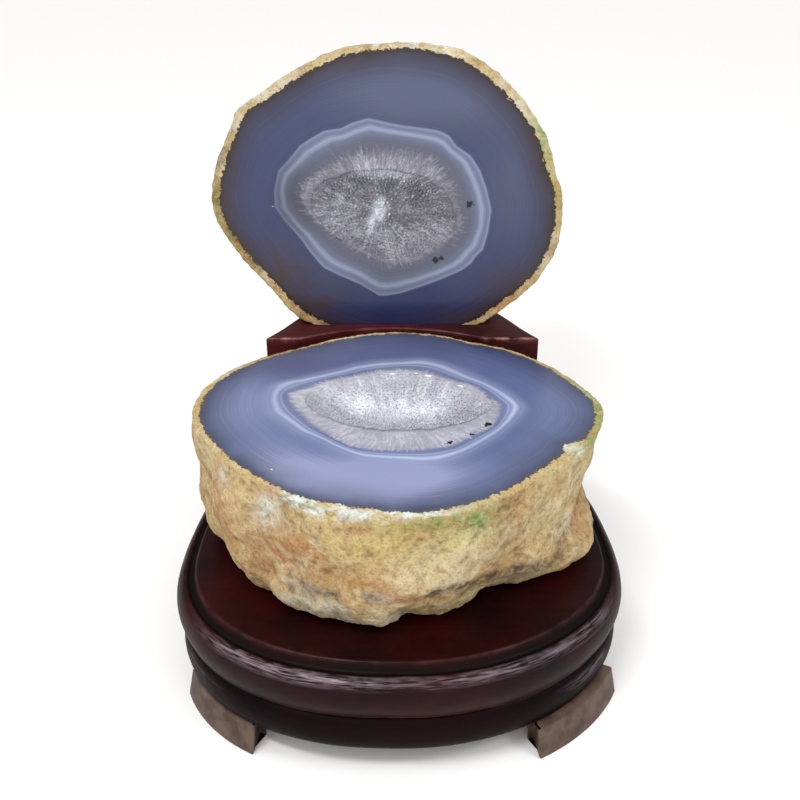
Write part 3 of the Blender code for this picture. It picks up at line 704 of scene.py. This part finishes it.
def polishedShade(add, place, looks, band, edge, matrix):
    # the body of the agate: fine lines that follow the bands, and slow clouds
    cloud = add("TexNoise", {"Vector": place, "Scale": 26.0, "Detail": 2.0})
    lines = add("Math", (cloud, 3.0), operation="MULTIPLY")
    lines = add("Math", (band, looks["lineCount"], lines), operation="MULTIPLY_ADD")
    lines = add("TexNoise", {"W": lines, "Scale": 1.0, "Detail": 3.0, "Roughness": 0.65},
                noise_dimensions="1D")
    # the pale field: the agate's tone, on the bowl also a painted sheen brightest in front
    tone, glow = (add("Attribute", output="Fac", attribute_name=name) for name in ("pale", "glow"))
    for pattern, strength in ((lines, looks["lineStrength"]), (cloud, looks["cloudStrength"])):
        pattern = add("Math", (pattern, 0.5), operation="SUBTRACT")
        tone = add("Math", (pattern, strength * 2, tone), operation="MULTIPLY_ADD")
    polished = add("ValToRGB", (tone,), stops=looks["bodyStops"])
    smoky = patches(add, place, 60.0, 0.3, 0.6, least=0.60)
    for reach, strength in ((looks["rimReach"], looks["rimStrength"]), (4.5, looks["rimNear"])):
        near = add("MapRange", (edge, -reach, 0.0, 0.0, strength))
        near = add("Math", (near, 1.4), operation="POWER")
        near = add("Math", (near, smoky), operation="MULTIPLY")
        polished = add("MixRGB", (near, polished, linear(looks["rimColour"])))
    brown = patches(add, place, 75.0, 0.35, 0.6, within="brown", Detail=4.0, Roughness=0.6, Distortion=1.0)
    polished = add("MixRGB", (brown, polished, linear(looks["brownColour"])))

    # inside the white band: its stripes, the grey zone, and then the sawn quartz
    wander = add("TexNoise", {"Vector": place, "Scale": 120.0, "Detail": 2.0})
    wander = add("Math", (wander, 0.04, -0.02), operation="MULTIPLY_ADD")
    inner = add("Math", (band, 0.5, wander), operation="MULTIPLY_ADD")
    inner = add("ValToRGB", (inner,), stops=looks["bandStops"])
    thin = add("Math", (band, 26.0), operation="MULTIPLY")
    thin = add("TexNoise", {"W": thin, "Scale": 1.0, "Detail": 2.0}, noise_dimensions="1D")
    thin = add("ValToRGB", (thin,), stops=((0.3, "#6c6f80"), (0.7, "#a3a6b8")))
    inner = add("MixRGB", (0.5, inner, thin), blend_type="SOFT_LIGHT")
    inner = add("MixRGB", (1.0, inner, glow), blend_type="MULTIPLY")
    ray = add("Attribute", output="Vector", attribute_name="ray")
    ragged = add("TexNoise", {"Vector": ray, "Scale": 1.1, "Detail": 3.0, "Roughness": 0.65})
    ragged = add("Math", (ragged, 1.5, band), operation="MULTIPLY_ADD")
    ragged = add("MapRange", (ragged, 1.95, 1.50),
                 interpolation_type="SMOOTHSTEP")
    inner = add("MixRGB", (ragged, inner, quartzShade(add, place, looks)))
    inside = add("MapRange", (band, 2.0 + looks["bandEdge"], 2.0 - looks["bandEdge"]))
    polished = add("MixRGB", (inside, polished, inner))

    # small dark inclusions and pale flecks, at their places on the face
    wobble = add("TexNoise", {"Vector": place, "Scale": 700.0, "Detail": 1.0}, output="Color")
    wobble = add("VectorMath", (wobble, (0.5, 0.5, 0.5)), operation="SUBTRACT")
    nearby = add("VectorMath", (wobble, (0.0028, 0.0028, 0.0028), place), operation="MULTIPLY_ADD")
    for (x, y), radius, colour in looks["specks"]:
        centre = matrix @ Vector((x / 1000, y / 1000, 0.0))
        away = add("VectorMath", (nearby, centre), output="Value", operation="DISTANCE")
        away = add("MapRange", (away, radius / 900, radius / 1250))
        polished = add("MixRGB", (away, polished, linear(colour)))
    return polished


def stoneMaterial(looks, matrix):
    material, add, dress = newMaterial(looks["name"])
    place = add("TexCoord", output="Object")
    band, edge, relief = (add("Attribute", output="Fac", attribute_name=name)
                          for name in ("band", "edge", "relief"))

    # where the rind starts: a ragged line of teeth 1 to 4 mm long
    border = edge
    for scale, length in ((850.0, 3.0), (230.0, 2.8)):
        teeth = add("TexNoise", {"Vector": place, "Scale": scale, "Detail": 2.0})
        teeth = add("Math", (teeth, 0.5), operation="SUBTRACT")
        border = add("Math", (teeth, length, border), operation="MULTIPLY_ADD")
    rindMask = add("MapRange", (border, -0.18, 0.18))
    tooth = add("MapRange", (border, -2.0, -0.1, 0.0, looks["toothStrength"]))
    polished = polishedShade(add, place, looks, band, edge, matrix)
    polished = add("MixRGB", (tooth, polished, linear(looks["toothColour"])))

    # the rind: sandy beige, with patches of a centimetre or so and grains under a millimetre
    sand = add("TexNoise", {"Vector": place, "Scale": 36.0, "Detail": 5.0, "Roughness": 0.62})
    rind = add("ValToRGB", (sand,), stops=rindLooks["sandStops"])
    crumbs = add("TexNoise", {"Vector": place, "Scale": 260.0, "Detail": 6.0, "Roughness": 0.72,
                              "Distortion": 0.4})
    for ends, colour in (((0.53, 0.68, 0.0, 0.45), "#e0d6bc"), ((0.46, 0.32, 0.0, 0.52), "#8a6532")):
        rind = add("MixRGB", (add("MapRange", (crumbs, *ends)), rind, linear(colour)))
    for name, colour, strength, scale in rindLooks["marks"]:
        share = patches(add, place, scale, 0.36, 0.60, strength, within=name, Detail=5.0, Roughness=0.65,
                        Distortion=0.5)
        rind = add("MixRGB", (share, rind, linear(colour)))
    grains = add("TexNoise", {"Vector": place, "Scale": 1100.0, "Detail": 3.0, "Roughness": 0.7})
    grained = add("ValToRGB", (grains,), stops=((0.32, "#cabfad"), (0.50, "#ffffff")))
    rind = add("MixRGB", (1.0, rind, grained), blend_type="MULTIPLY")
    # pits painted darker and bumps painted lighter by the relief: painted shade and painted light
    for ends, colour, blend in (((0.0, -0.6, 0.0, 0.6), "#8a6740", "MULTIPLY"),
                                ((0.15, 0.7, 0.0, 0.25), "#e6dcc2", "MIX")):
        share = add("MapRange", (relief, *ends))
        rind = add("MixRGB", (share, rind, linear(colour)), blend_type=blend)

    colour = add("MixRGB", (rindMask, polished, rind))
    rough = add("MapRange", {"Value": rindMask, "To Min": 0.19, "To Max": 0.86})
    height = add("Math", (crumbs, 1.6, grains), operation="MULTIPLY_ADD")
    height = add("Math", (height, rindMask), operation="MULTIPLY")
    bump = add("Bump", {"Height": height, "Strength": 0.8, "Distance": 0.0006})
    dress({"Base Color": colour, "Roughness": rough, "Normal": bump, "IOR": 1.54})
    return material


makeStone(lowerHalf, stoneMaterial(lowerLooks, lowerHalf["matrix"]))
makeStone(upperHalf, stoneMaterial(upperLooks, upperHalf["matrix"]))


# Quartz points lining the hollows

druse = {
    "rings": 46, "sides": 200, "shapes": 5,
    "pointSides": 6, "pointWidth": 0.00062, "rootDepth": 0.0004, "shaftHeight": 0.0007,
    "tipHeight": 0.0009, "cornerJitter": 0.0002, "tipJitter": 0.0003,
    # how far the crust's ground reaches past the hollow's outline, and its own lumps: size and height
    "overlap": 0.0004, "wander": (0.004, 0.0012), "groundLumps": (0.0065, 0.0011), "groundGap": 0.0003,
    # how the crust thins outwards and rises again to the lip; its lip lies a hair over the cut face
    # and its middle stays this far below it
    "thinning": 0.35, "lipRise": 0.34, "overLip": 0.00003, "belowFace": 0.0030,
    "halves": (
        {"half": lowerHalf, "looks": lowerLooks, "label": "milky", "name": "lowerQuartz",
         "node": "lower_crystals", "Spacing": 0.00110, "Size": 0.58, "Seed": 3, "Tilt": 0.15},
        {"half": upperHalf, "looks": upperLooks, "label": "grey", "name": "upperQuartz",
         "node": "upper_crystals", "Spacing": 0.00125, "Size": 0.80, "Seed": 8, "Tilt": 0.30}),
}


def quartzPoint(name, dice):
    # a six-sided shaft with an uneven pyramid, as quartz grows, about 1.2 mm across
    count = druse["pointSides"]
    root, top = -druse["rootDepth"], druse["shaftHeight"]
    aside = druse["tipJitter"]
    rings = []
    for height, share in ((root, 1.0), (top, 0.92)):
        spots = []
        for k in range(count):
            turn = 2 * math.pi * k / count
            width = druse["pointWidth"] * share * dice.uniform(0.8, 1.15)
            uneven = dice.uniform(-1, 1) * druse["cornerJitter"]
            spots.append((width * math.cos(turn), width * math.sin(turn), height + uneven))
        rings.append(np.array(spots))
    tip = (dice.uniform(-1, 1) * aside, dice.uniform(-1, 1) * aside, top + druse["tipHeight"])
    mesh = skinRings(name, rings, (0.0, 0.0, root), tip)
    turnOutward(mesh)
    return mesh


def druseTree(templates, pointMaterial):
    tree = bpy.data.node_groups.new("quartzDruse", "GeometryNodeTree")
    add = partial(addNode, tree)
    sockets = tree.interface
    sockets.new_socket("Geometry", in_out="INPUT", socket_type="NodeSocketGeometry")
    for label, kind, value in (("Spacing", "NodeSocketFloat", 0.001), ("Size", "NodeSocketFloat", 1.0),
                               ("Tilt", "NodeSocketFloat", 0.4), ("Seed", "NodeSocketInt", 1)):
        sockets.new_socket(label, in_out="INPUT", socket_type=kind).default_value = value
    sockets.new_socket("Geometry", in_out="OUTPUT", socket_type="NodeSocketGeometry")
    start = tree.nodes.new("NodeGroupInput").outputs
    grow = add("GeometryNodeInputNamedAttribute", {"Name": "grow"}, data_type="FLOAT")
    chosen = add("FunctionNodeCompare", (grow, 0.01), data_type="FLOAT", operation="GREATER_THAN")
    points = add("GeometryNodeDistributePointsOnFaces",
                 {"Mesh": start["Geometry"], "Selection": chosen, "Distance Min": start["Spacing"],
                  "Density Max": 3.0e6, "Seed": start["Seed"]}, distribute_method="POISSON")
    # each point leans its own way and is turned and sized at random
    back = add("Math", (start["Tilt"], -1.0), operation="MULTIPLY")
    low = add("CombineXYZ", {"X": back, "Y": back, "Z": -3.14})
    high = add("CombineXYZ", {"X": start["Tilt"], "Y": start["Tilt"], "Z": 3.14})
    ranges = ((low, high), ((0.65, 0.65, 0.6), (1.25, 1.25, 1.5)))
    lean, size = (add("FunctionNodeRandomValue", {0: least, 1: most, "Seed": start["Seed"]},
                      data_type="FLOAT_VECTOR") for least, most in ranges)
    lean = add("FunctionNodeEulerToRotation", (lean,))
    upright = points.node.outputs["Rotation"]
    turned = add("FunctionNodeRotateRotation", (upright, lean), rotation_space="LOCAL")
    for factor in (start["Size"], grow):
        size = add("VectorMath", {0: size, "Scale": factor}, operation="SCALE")
    shapes = add("GeometryNodeCollectionInfo", {"Collection": templates, "Separate Children": True,
                                                "Reset Children": True})
    crystals = add("GeometryNodeInstanceOnPoints", {"Points": points, "Instance": shapes, "Scale": size,
                                                    "Pick Instance": True, "Rotation": turned})
    tone = add("FunctionNodeRandomValue", {2: 0.0, 3: 1.0, "Seed": start["Seed"]}, output=1,
               data_type="FLOAT")
    crystals = add("GeometryNodeStoreNamedAttribute", {"Geometry": crystals, "Name": "tone", "Value": tone},
                   data_type="FLOAT", domain="INSTANCE")
    crystals = add("GeometryNodeRealizeInstances", {"Geometry": crystals})
    crystals = add("GeometryNodeSetMaterial", {"Geometry": crystals, "Material": pointMaterial})
    joined = add("GeometryNodeJoinGeometry", (start["Geometry"],))
    tree.links.new(crystals, joined.node.inputs[0])
    add("NodeGroupOutput", (joined,))
    return tree


def quartzMaterial(name, looks, roughness, clarity):
    # milky quartz with glassy facets; clear tips let a little of the ground show, IOR 1.544
    material, add, dress = newMaterial(name)
    dress({"Base Color": quartzShade(add, add("TexCoord", output="Object"), looks), "Roughness": roughness,
           "IOR": 1.544, "Transmission Weight": clarity, "Subsurface Weight": 0.60,
           "Subsurface Radius": (1.0, 1.0, 1.1), "Subsurface Scale": 0.0037})
    return material


def makeDruse(spec, tree, groundMaterial):
    half = spec["half"]
    degrees, compass = directions(druse["sides"])
    middle = np.array(half["middle"]) / 1000
    radius = outlineRadius(half["hollow"], half["middle"], degrees)
    size, height = druse["wander"]
    wander = lumps(levelRing(compass, middle, radius, 0.0), size, half["seed"])
    radius = radius + np.maximum(wander, 0) * height + druse["overlap"]
    size, height = druse["groundLumps"]
    rows = []
    for part in np.arange(1, druse["rings"] + 1) / druse["rings"]:
        thick = 1 - druse["thinning"] * part + druse["lipRise"] * part ** 8
        level = -hollowLevel(part) + hollowShape["skin"] * thick
        spots = levelRing(compass, middle, radius * part, level)
        spots[:, 2] += lumps(spots, size, half["seed"] + 2) * height * (1 - part ** 4)
        spots[:, 2] = np.minimum(spots[:, 2], druse["overLip"] - druse["belowFace"] * (1 - part))
        # paler at the lip where its wall lies in shade, darker where it is lit
        lipness = 1 - smoothStep(1 - part, 0.0, 0.25)
        rows.append((spots, 1.15 - 0.85 * part ** 9, 0.55 + lipness * (0.30 * compass[:, 1] - 0.12)))
    # the underside lies just over the stone's own wall
    for part in hollowShape["wallParts"][::-1]:
        level = -hollowLevel(part) + druse["groundGap"]
        rows.append((levelRing(compass, middle, radius * part, level), 0.0, 0.0))
    floorPole = (*middle, rows[0][0][:, 2].mean())
    underPole = (*middle, druse["groundGap"] - hollowShape["depth"])
    mesh, mm = skinRows(spec["name"] + "Ground", rows, floorPole, underPole, grow=(1.0, 0.0),
                        rise=(1.0, 0.0))
    setAttributes(mesh, white=paint(half["white"], mm[:, 0], mm[:, 1]), ray=rayField(half, mm))
    turnOutward(mesh)
    mesh.materials.append(groundMaterial)
    ground = linkObject(spec["name"] + "Ground", mesh)
    modifier = ground.modifiers.new("quartzDruse", "NODES")
    modifier.node_group = tree
    for item in tree.interface.items_tree:
        if item.in_out == "INPUT" and item.name in spec:
            modifier[item.identifier] = spec[item.name]
    grown = meshWithModifiers(ground)
    bpy.data.objects.remove(ground)
    placePiece(spec["name"], grown, None, spec["node"], half["matrix"])


templates = bpy.data.collections.new("quartzShapes")
dice = random.Random(5)
for number in range(druse["shapes"]):
    shapeName = f"quartzShape{number}"
    templates.objects.link(bpy.data.objects.new(shapeName, quartzPoint(shapeName, dice)))
for spec in druse["halves"]:
    pointMaterial = quartzMaterial(spec["label"] + "QuartzPoints", spec["looks"], 0.42, 0.08)
    groundMaterial = quartzMaterial(spec["label"] + "QuartzGround", spec["looks"], 0.5, 0.0)
    makeDruse(spec, druseTree(templates, pointMaterial), groundMaterial)
for shape in list(templates.objects):
    bpy.data.objects.remove(shape)
bpy.data.collections.remove(templates)


# The stand

stand = {
    "width": 0.170, "frontReach": 0.067, "rearReach": 0.146, "middleY": -0.0395,
    "frontLeft": 2.25, "frontRight": 2.0, "rear": 2.4, "taper": 0.31, "taperPower": 1.6,
    "sides": 288, "gap": 0.0003, "footHeight": 0.012, "underHeight": 0.015, "baseHeight": 0.021,
    # the mouldings' unevenness: size of one wave, its share of a board's own wave, and its seed
    "wander": ((0.021, 1.0, 2.0), (0.009, 0.5, 7.0)), "lift": (0.016, 0.6, 12.0),
    # the last two: how far the scuffs spread up and down and reach in; pale wear and a painted highlight
    "liftBetween": (0.001, 0.0195), "shoulder": 0.008, "scuffSpread": 0.0013, "scuffInset": 0.0045,
}
underBottom = stand["footHeight"] + stand["gap"]
baseBottom = underBottom + stand["underHeight"] + stand["gap"]
panelTop = baseBottom + stand["baseHeight"]

baseBoard = {
    "name": "baseBoard", "node": "base_board", "bottom": baseBottom,
    # distance in from the outline and height in mm, 1 at a worn arris that also paints a highlight,
    # 1 where the groove is darker
    "section": ((30, 21, 0, 0), (9.5, 21, 0, 0), (8.8, 20.98, 0, 0), (8.3, 20.8, 0.3, 0),
        (7.9, 20.4, 0.2, 0), (7.6, 19.6, 0, 0.3), (7, 18.4, 0, 0.7), (6.4, 17.6, 0, 1),
        (5.6, 17.3, 0, 1), (5, 17.6, 0, 1), (4.5, 17.9, 0, 0.4), (3.8, 17.9, 0, 0), (3, 17.4, 0, 0),
        (2.2, 16.6, 0, 0), (1.3, 15.3, 0, 0), (0.6, 13.6, 0, 0), (0.2, 11.7, 0, 0), (0.0, 9.7, 0, 0),
        (0.1, 7.6, 0, 0), (0.4, 5.7, 0, 0), (0.9, 4, 0, 0), (1.5, 2.4, 0, 0), (2, 1.3, 0, 0),
        (2.3, 0.7, 1, 0), (2.7, 0.2, 0.6, 0), (3.4, 0.0, 0, 0), (30, 0.0, 0, 0)),
    # how far the shoulder wanders, and the place, half width and depth of its dent
    "wave": 0.00035, "dent": (0.004, 0.006, 0.0007),
    # pale scuffs on the shoulder, wear and a painted highlight: degrees round the board, half width,
    # strength
    "scuffs": ((-124, 16, 0.9), (-102, 14, 0.9), (-68, 14, 0.7), (-38, 14, 0.6)), "scuffHeight": 0.0166,
}
underBoard = {
    "name": "underBoard", "node": "under_board", "bottom": underBottom,
    "section": ((30, 15, 0, 0), (6.5, 15, 0, 0), (5, 14.5, 0, 0), (3.5, 13.6, 0, 0), (2.5, 12.3, 0, 0),
        (1.8, 10.8, 0, 0), (1.3, 9, 0, 0), (1.2, 7.3, 0, 0), (1.3, 5.4, 0, 0), (1.6, 3.6, 0, 0),
        (2.2, 1.8, 0, 0), (2.7, 0.7, 0.5, 0), (3.3, 0.2, 0.3, 0), (4, 0.0, 0, 0), (30, 0.0, 0, 0)),
    "wave": 0.00025, "dent": (0.004, 0.006, 0.0),
    # pale scuffs on the cove, painted highlights: degrees round the board, half width, strength
    "scuffs": ((-33, 9, 0.6), (-150, 10, 0.4)), "scuffHeight": 0.0100,
}


def inwardOf(along):
    # the unit vector to the left of each step along an outline
    inward = np.stack([-along[..., 1], along[..., 0]], -1)
    return inward / np.linalg.norm(inward, axis=-1, keepdims=True)


def planPoints(degrees, inset=0.0):
    # the stand's outline, moved in by a distance: round in front, narrowing to a blunt rear
    def outline(angle):
        across, along = np.cos(np.radians(angle)), np.sin(np.radians(angle))
        reach = np.abs(along)
        front = along < 0
        square = np.where(across > 0, stand["frontRight"], stand["frontLeft"])
        square = np.where(front, square, stand["rear"])
        half = stand["width"] / 2 * np.where(front, 1.0, 1 - stand["taper"] * reach ** stand["taperPower"])
        y = stand["middleY"] + np.where(front, -stand["frontReach"], stand["rearReach"]) * reach
        x = half * np.maximum(0.0, 1 - reach ** square) ** (1 / square)
        return np.stack([np.copysign(x, across), y], -1)

    degrees = np.asarray(degrees, float)
    along = outline(degrees + 0.5) - outline(degrees - 0.5)
    return outline(degrees) + inwardOf(along) * np.asarray(inset)[..., None]


def makeBoard(board, material):
    degrees = directions(stand["sides"])[0]
    plain = np.column_stack([planPoints(degrees), 0 * degrees])
    # the moulding was shaped by hand: its shoulder wanders a little and has a shallow dent in front
    dentX, dentWidth, dentDepth = board["dent"]
    dent = np.exp(-((plain[:, 0] - dentX) / dentWidth) ** 2) * (plain[:, 1] < -0.05) * dentDepth
    # how strongly each place round the board is scuffed pale: wear and a painted highlight
    rubbedSheen = sum(strength * np.exp(-((degrees - turn) / width) ** 2)
                 for turn, width, strength in board["scuffs"])
    liftSize, liftShare, liftSeed = stand["lift"]
    low, high = stand["liftBetween"]
    rows = []
    for inset, height, wornSheen, dark in board["section"]:
        inset /= 1000
        height /= 1000
        shoulder = np.clip(1 - inset / stand["shoulder"], 0, 1)
        spots = plain + np.array([0.0, 0.0, height])
        wander = sum(share * lumps(spots, size, own) for size, share, own in stand["wander"])
        shift = inset - board["wave"] * wander * shoulder + dent * shoulder * (0.5 + height / 0.03)
        lift = board["wave"] * liftShare * lumps(spots, liftSize, liftSeed) * shoulder
        lift *= low < height < high
        ring = np.column_stack([planPoints(degrees, shift), board["bottom"] + height + lift])
        scuffed = math.exp(-((height - board["scuffHeight"]) / stand["scuffSpread"]) ** 2)
        scuffed *= inset < stand["scuffInset"]
        rows.append((ring, wornSheen, dark, rubbedSheen * scuffed))
    poles = [(0.0, stand["middleY"] + 0.03, float(row[0][:, 2].mean())) for row in (rows[0], rows[-1])]
    mesh = skinRows(board["name"], rows, *poles, arris=(0, 0), groove=(0, 0), scuff=(0, 0))[0]
    placePiece(board["name"], mesh, material, board["node"], sharpFrom=60)


backBlock = {
    "x": 0.001, "width": 0.115, "inset": 0.0095, "frontY": 0.042, "corner": 0.007, "height": 0.049,
    "scoopRadius": 0.085, "scoopDepth": 0.0095, "scoopX": -0.003, "edge": 0.0009, "seatClearance": 0.0016,
    "pointGap": 0.003,
}


def blockOutline():
    # anticlockwise: the front's right corner, round the rear, and back along the scooped front
    block = backBlock
    rear = planPoints(np.linspace(0, 180, 120), block["inset"])
    rear = rear[rear[:, 1] > block["frontY"] + block["corner"]]
    side = block["width"] / 2
    outline = [(side, block["frontY"])] + rear.tolist() + [(-side, block["frontY"])]
    radius = block["scoopRadius"]
    centre = (block["scoopX"] - block["x"], block["frontY"] + block["scoopDepth"] - radius)
    turn = math.asin(math.sqrt(radius ** 2 - (block["frontY"] - centre[1]) ** 2) / radius)
    for part in np.linspace(-turn, turn, 40):
        outline.append((centre[0] + radius * math.sin(part), centre[1] + radius * math.cos(part)))
    outline = np.array(outline) + np.array([block["x"], 0.0])
    # long straight runs get points of their own, so that the worn edge follows them evenly
    dense = []
    for a, b in zip(outline, np.roll(outline, -1, axis=0)):
        count = max(1, int(np.linalg.norm(b - a) / block["pointGap"]))
        dense += [a + (b - a) * k / count for k in range(count)]
    return np.array(dense)


def seatForm():
    # the lid's own form, a little larger
    thickness = upperHalf["thickness"]
    degrees, compass = directions(96)
    rim = outlineRadius(upperHalf["rim"], (0, 0), degrees)
    rings = []
    for depth in np.linspace(-0.03, 1.0, 14):
        radius = rim * flankScale(upperHalf["flank"], degrees, max(0.0, depth)) + backBlock["seatClearance"]
        rings.append(levelRing(compass, 0, radius, -thickness * depth))
    mesh = skinRings("seatForm", rings, (0, 0, thickness * 0.03), (0, 0, -thickness))
    mesh.transform(upperHalf["matrix"])
    evenNormals(mesh)
    return linkObject("seatForm", mesh)


def makeBackBlock(material):
    bottom = panelTop + stand["gap"]
    top = bottom + backBlock["height"]
    outline = blockOutline()
    inward = inwardOf(np.roll(outline, -1, axis=0) - np.roll(outline, 1, axis=0))
    inFront = np.where(outline[:, 1] < backBlock["frontY"] + 0.0005, 1.0, 0.15)
    edge = backBlock["edge"]
    rings = []
    arris = []
    # a small rounded edge worn pale, most in front, also painted highlight; each row is inset, height and
    # wear
    for inset, height, wornSheen in ((edge * 1.6, top, 0), (edge, top, 0.25),
                                (edge * 0.5, top - edge * 0.13, 0.9), (edge * 0.13, top - edge * 0.5, 0.9),
                                (0, top - edge, 0.25), (0, top - edge * 3, 0), (0, bottom, 0)):
        rings.append(np.column_stack([outline + inward * inset, np.full(len(outline), height)]))
        arris.append(wornSheen * inFront)
    mesh = skinRings("backBlock", rings)
    setAttributes(mesh, arris=np.concatenate(arris))
    evenNormals(mesh, fillCaps=True)
    draft = linkObject("backBlockDraft", mesh)
    seat = seatForm()
    carve = draft.modifiers.new("seat", "BOOLEAN")
    carve.operation = "DIFFERENCE"
    carve.solver = "EXACT"
    carve.object = seat
    carved = meshWithModifiers(draft)
    bpy.data.objects.remove(draft)
    bpy.data.objects.remove(seat)
    carved.materials.clear()
    placePiece("backBlock", carved, material, "back_block", sharpFrom=35)


feet = {
    "thickness": 0.008, "splay": 0.0025, "steps": 28, "edge": 0.0005,
    # name, node, where it starts and ends in degrees round the board, and how far it is set in
    "places": (("frontRightFoot", "front_right_foot", -55, -20, -0.0008),
               ("frontLeftFoot", "front_left_foot", -124, -158, 0.0022),
               ("rearRightFoot", "rear_right_foot", 53, 30, 0.0),
               ("rearLeftFoot", "rear_left_foot", 127, 150, 0.0)),
}


def makeFoot(name, node, nearEnd, farEnd, inset, material):
    # a sawn bracket that follows the outline and leans out at its foot
    top = stand["footHeight"]
    edge = feet["edge"]
    rows = []
    for i in range(feet["steps"] + 1):
        turn = nearEnd + (farEnd - nearEnd) * i / feet["steps"]
        outerTop = planPoints(turn, inset)
        outerFoot = planPoints(turn, inset - feet["splay"])
        inner = planPoints(turn, inset + feet["thickness"])
        if i == 0:
            square = (inner - outerTop) / np.linalg.norm(inner - outerTop)
            back = np.array([0.0, math.copysign(1.0, square[1])])
            inner = outerTop + back * feet["thickness"] / float(back @ square)
        corners = [np.append(spot, height) for spot, height in
                   ((outerTop, top), (outerFoot, 0.0), (inner, 0.0), (inner, top))]
        middle = sum(corners) / 4
        row = []
        for k, here in enumerate(corners):
            # each long edge is a narrow round of three points
            for there, share in ((corners[k - 1], 1.0), (middle, 0.4), (corners[(k + 1) % 4], 1.0)):
                row.append(here + (there - here) / np.linalg.norm(there - here) * edge * share)
        rows.append(np.array(row))
    # the two sawn ends: a narrow bevel and then the flat
    ends = []
    for end, inside in ((0, 1), (-1, -2)):
        middle = rows[end].mean(axis=0)
        lean = rows[inside] - rows[end]
        lean /= np.linalg.norm(lean, axis=1, keepdims=True)
        ends.append((rows[end] + (middle - rows[end]) * 0.06, rows[end] + lean * edge * 0.8, middle))
    (nearFlat, nearBevel, nearPole), (farFlat, farBevel, farPole) = ends
    body = [nearFlat, nearBevel] + rows[1:-1] + [farBevel, farFlat]
    mesh = skinRings(name, body, nearPole, farPole)
    setAttributes(mesh, arris=np.append(np.full(len(body) * 12, 0.5), (0.0, 0.0)))
    placePiece(name, mesh, material, node, sharpFrom=40)


# Dark red lacquer brushed over carved rosewood: a thin gloss coat whose slight unevenness breaks up
# the highlights, brown-black in the grooves, rubbed thin and pinkish on the arrises and scuffed pale
# on the mouldings, where the pink and pale are partly wear and partly painted highlights
def lacquerMaterial(name, deep, warm, wornSheen, dustAndReflection, dustAndReflectionStrength, gloss):
    material, add, dress = newMaterial(name)
    place = add("TexCoord", output="Object")
    groove = add("Attribute", output="Fac", attribute_name="groove")
    grainwise = add("Mapping", {"Vector": place, "Scale": (0.10, 1.0, 1.0)})
    pores = add("TexNoise", {"Vector": grainwise, "Scale": 450.0, "Detail": 4.0, "Roughness": 0.6})
    level = add("TexNoise", {"Vector": place, "Scale": 30.0, "Detail": 3.0})
    level = add("Math", (pores, 0.35, level), operation="MULTIPLY_ADD")
    colour = add("ValToRGB", (level,), stops=((0.5, deep), (0.85, warm)))
    # groove darker, a dust film, pale arrises and scuffs along the moulding: wear and painted highlights
    # the dust film: on the feet, thick and brown-grey, it is mostly a painted reflection of the floor
    film = patches(add, place, 55.0, 0.3, 0.75, dustAndReflectionStrength, Detail=5.0, Roughness=0.7)
    # arrises rubbed pale, wear and a painted highlight
    rubbedSheen = patches(add, place, 160.0, 0.38, 0.62, within="arris")
    runs = add("Mapping", {"Vector": place, "Scale": (0.07, 0.07, 1.0)})
    layers = [(groove, "#0d0705"), (film, dustAndReflection), (rubbedSheen, wornSheen)]
    # pale streaks along the moulding's runs, wear and a painted highlight
    for scale, detail in ((900.0, 3.0), (2200.0, 2.0)):
        highlightStreak = patches(add, runs, scale, 0.44, 0.66, 0.6, within="scuff", Detail=detail, Distortion=0.4)
        layers.append((highlightStreak, "#a08f98"))
    for share, shade in layers:
        colour = add("MixRGB", (share, colour, linear(shade)))
    coat = add("MapRange", {"Value": groove, "To Min": gloss, "To Max": 0.02})
    ripple = add("TexNoise", {"Vector": place, "Scale": 120.0, "Detail": 3.0})
    brushed = add("TexNoise", {"Vector": grainwise, "Scale": 320.0, "Detail": 2.0})
    height = add("Math", (brushed, 0.3, ripple), operation="MULTIPLY_ADD")
    bump = add("Bump", {"Height": height, "Strength": 0.4, "Distance": 0.0006})
    dress({"Base Color": colour, "Roughness": 0.5, "Specular IOR Level": gloss / 3, "Coat Weight": coat,
           "Coat Roughness": 0.26, "Coat IOR": 1.5, "Normal": bump, "Coat Normal": bump})
    return material


rosewood = lacquerMaterial("glossRosewoodLacquer", "#060102", "#2a0306", "#5a3334", "#3a2c2e", 0.03, 0.13)
# the under board: a darker copy of the lacquer, painted shade beneath the moulding
shadeDarkenedWood = lacquerMaterial("shadeDarkenedRosewoodLacquer", "#080304", "#140406", "#3a2224", "#2c2224", 0.05, 0.06)
blockWood = lacquerMaterial("satinRosewoodLacquer", "#240609", "#470d12", "#a5746f", "#5a4646", 0.06, 0.22)
# the feet: dust and a painted reflection of the pale floor, in a lighter brown-grey lacquer
footWood = lacquerMaterial("dustAndFloorReflectionLacquer", "#33241e", "#4a3732", "#6f5e52", "#625449", 0.6, 0.15)
makeBoard(baseBoard, rosewood)
makeBoard(underBoard, shadeDarkenedWood)
makeBackBlock(blockWood)
for footPlace in feet["places"]:
    makeFoot(*footPlace, footWood)
print("stand made")
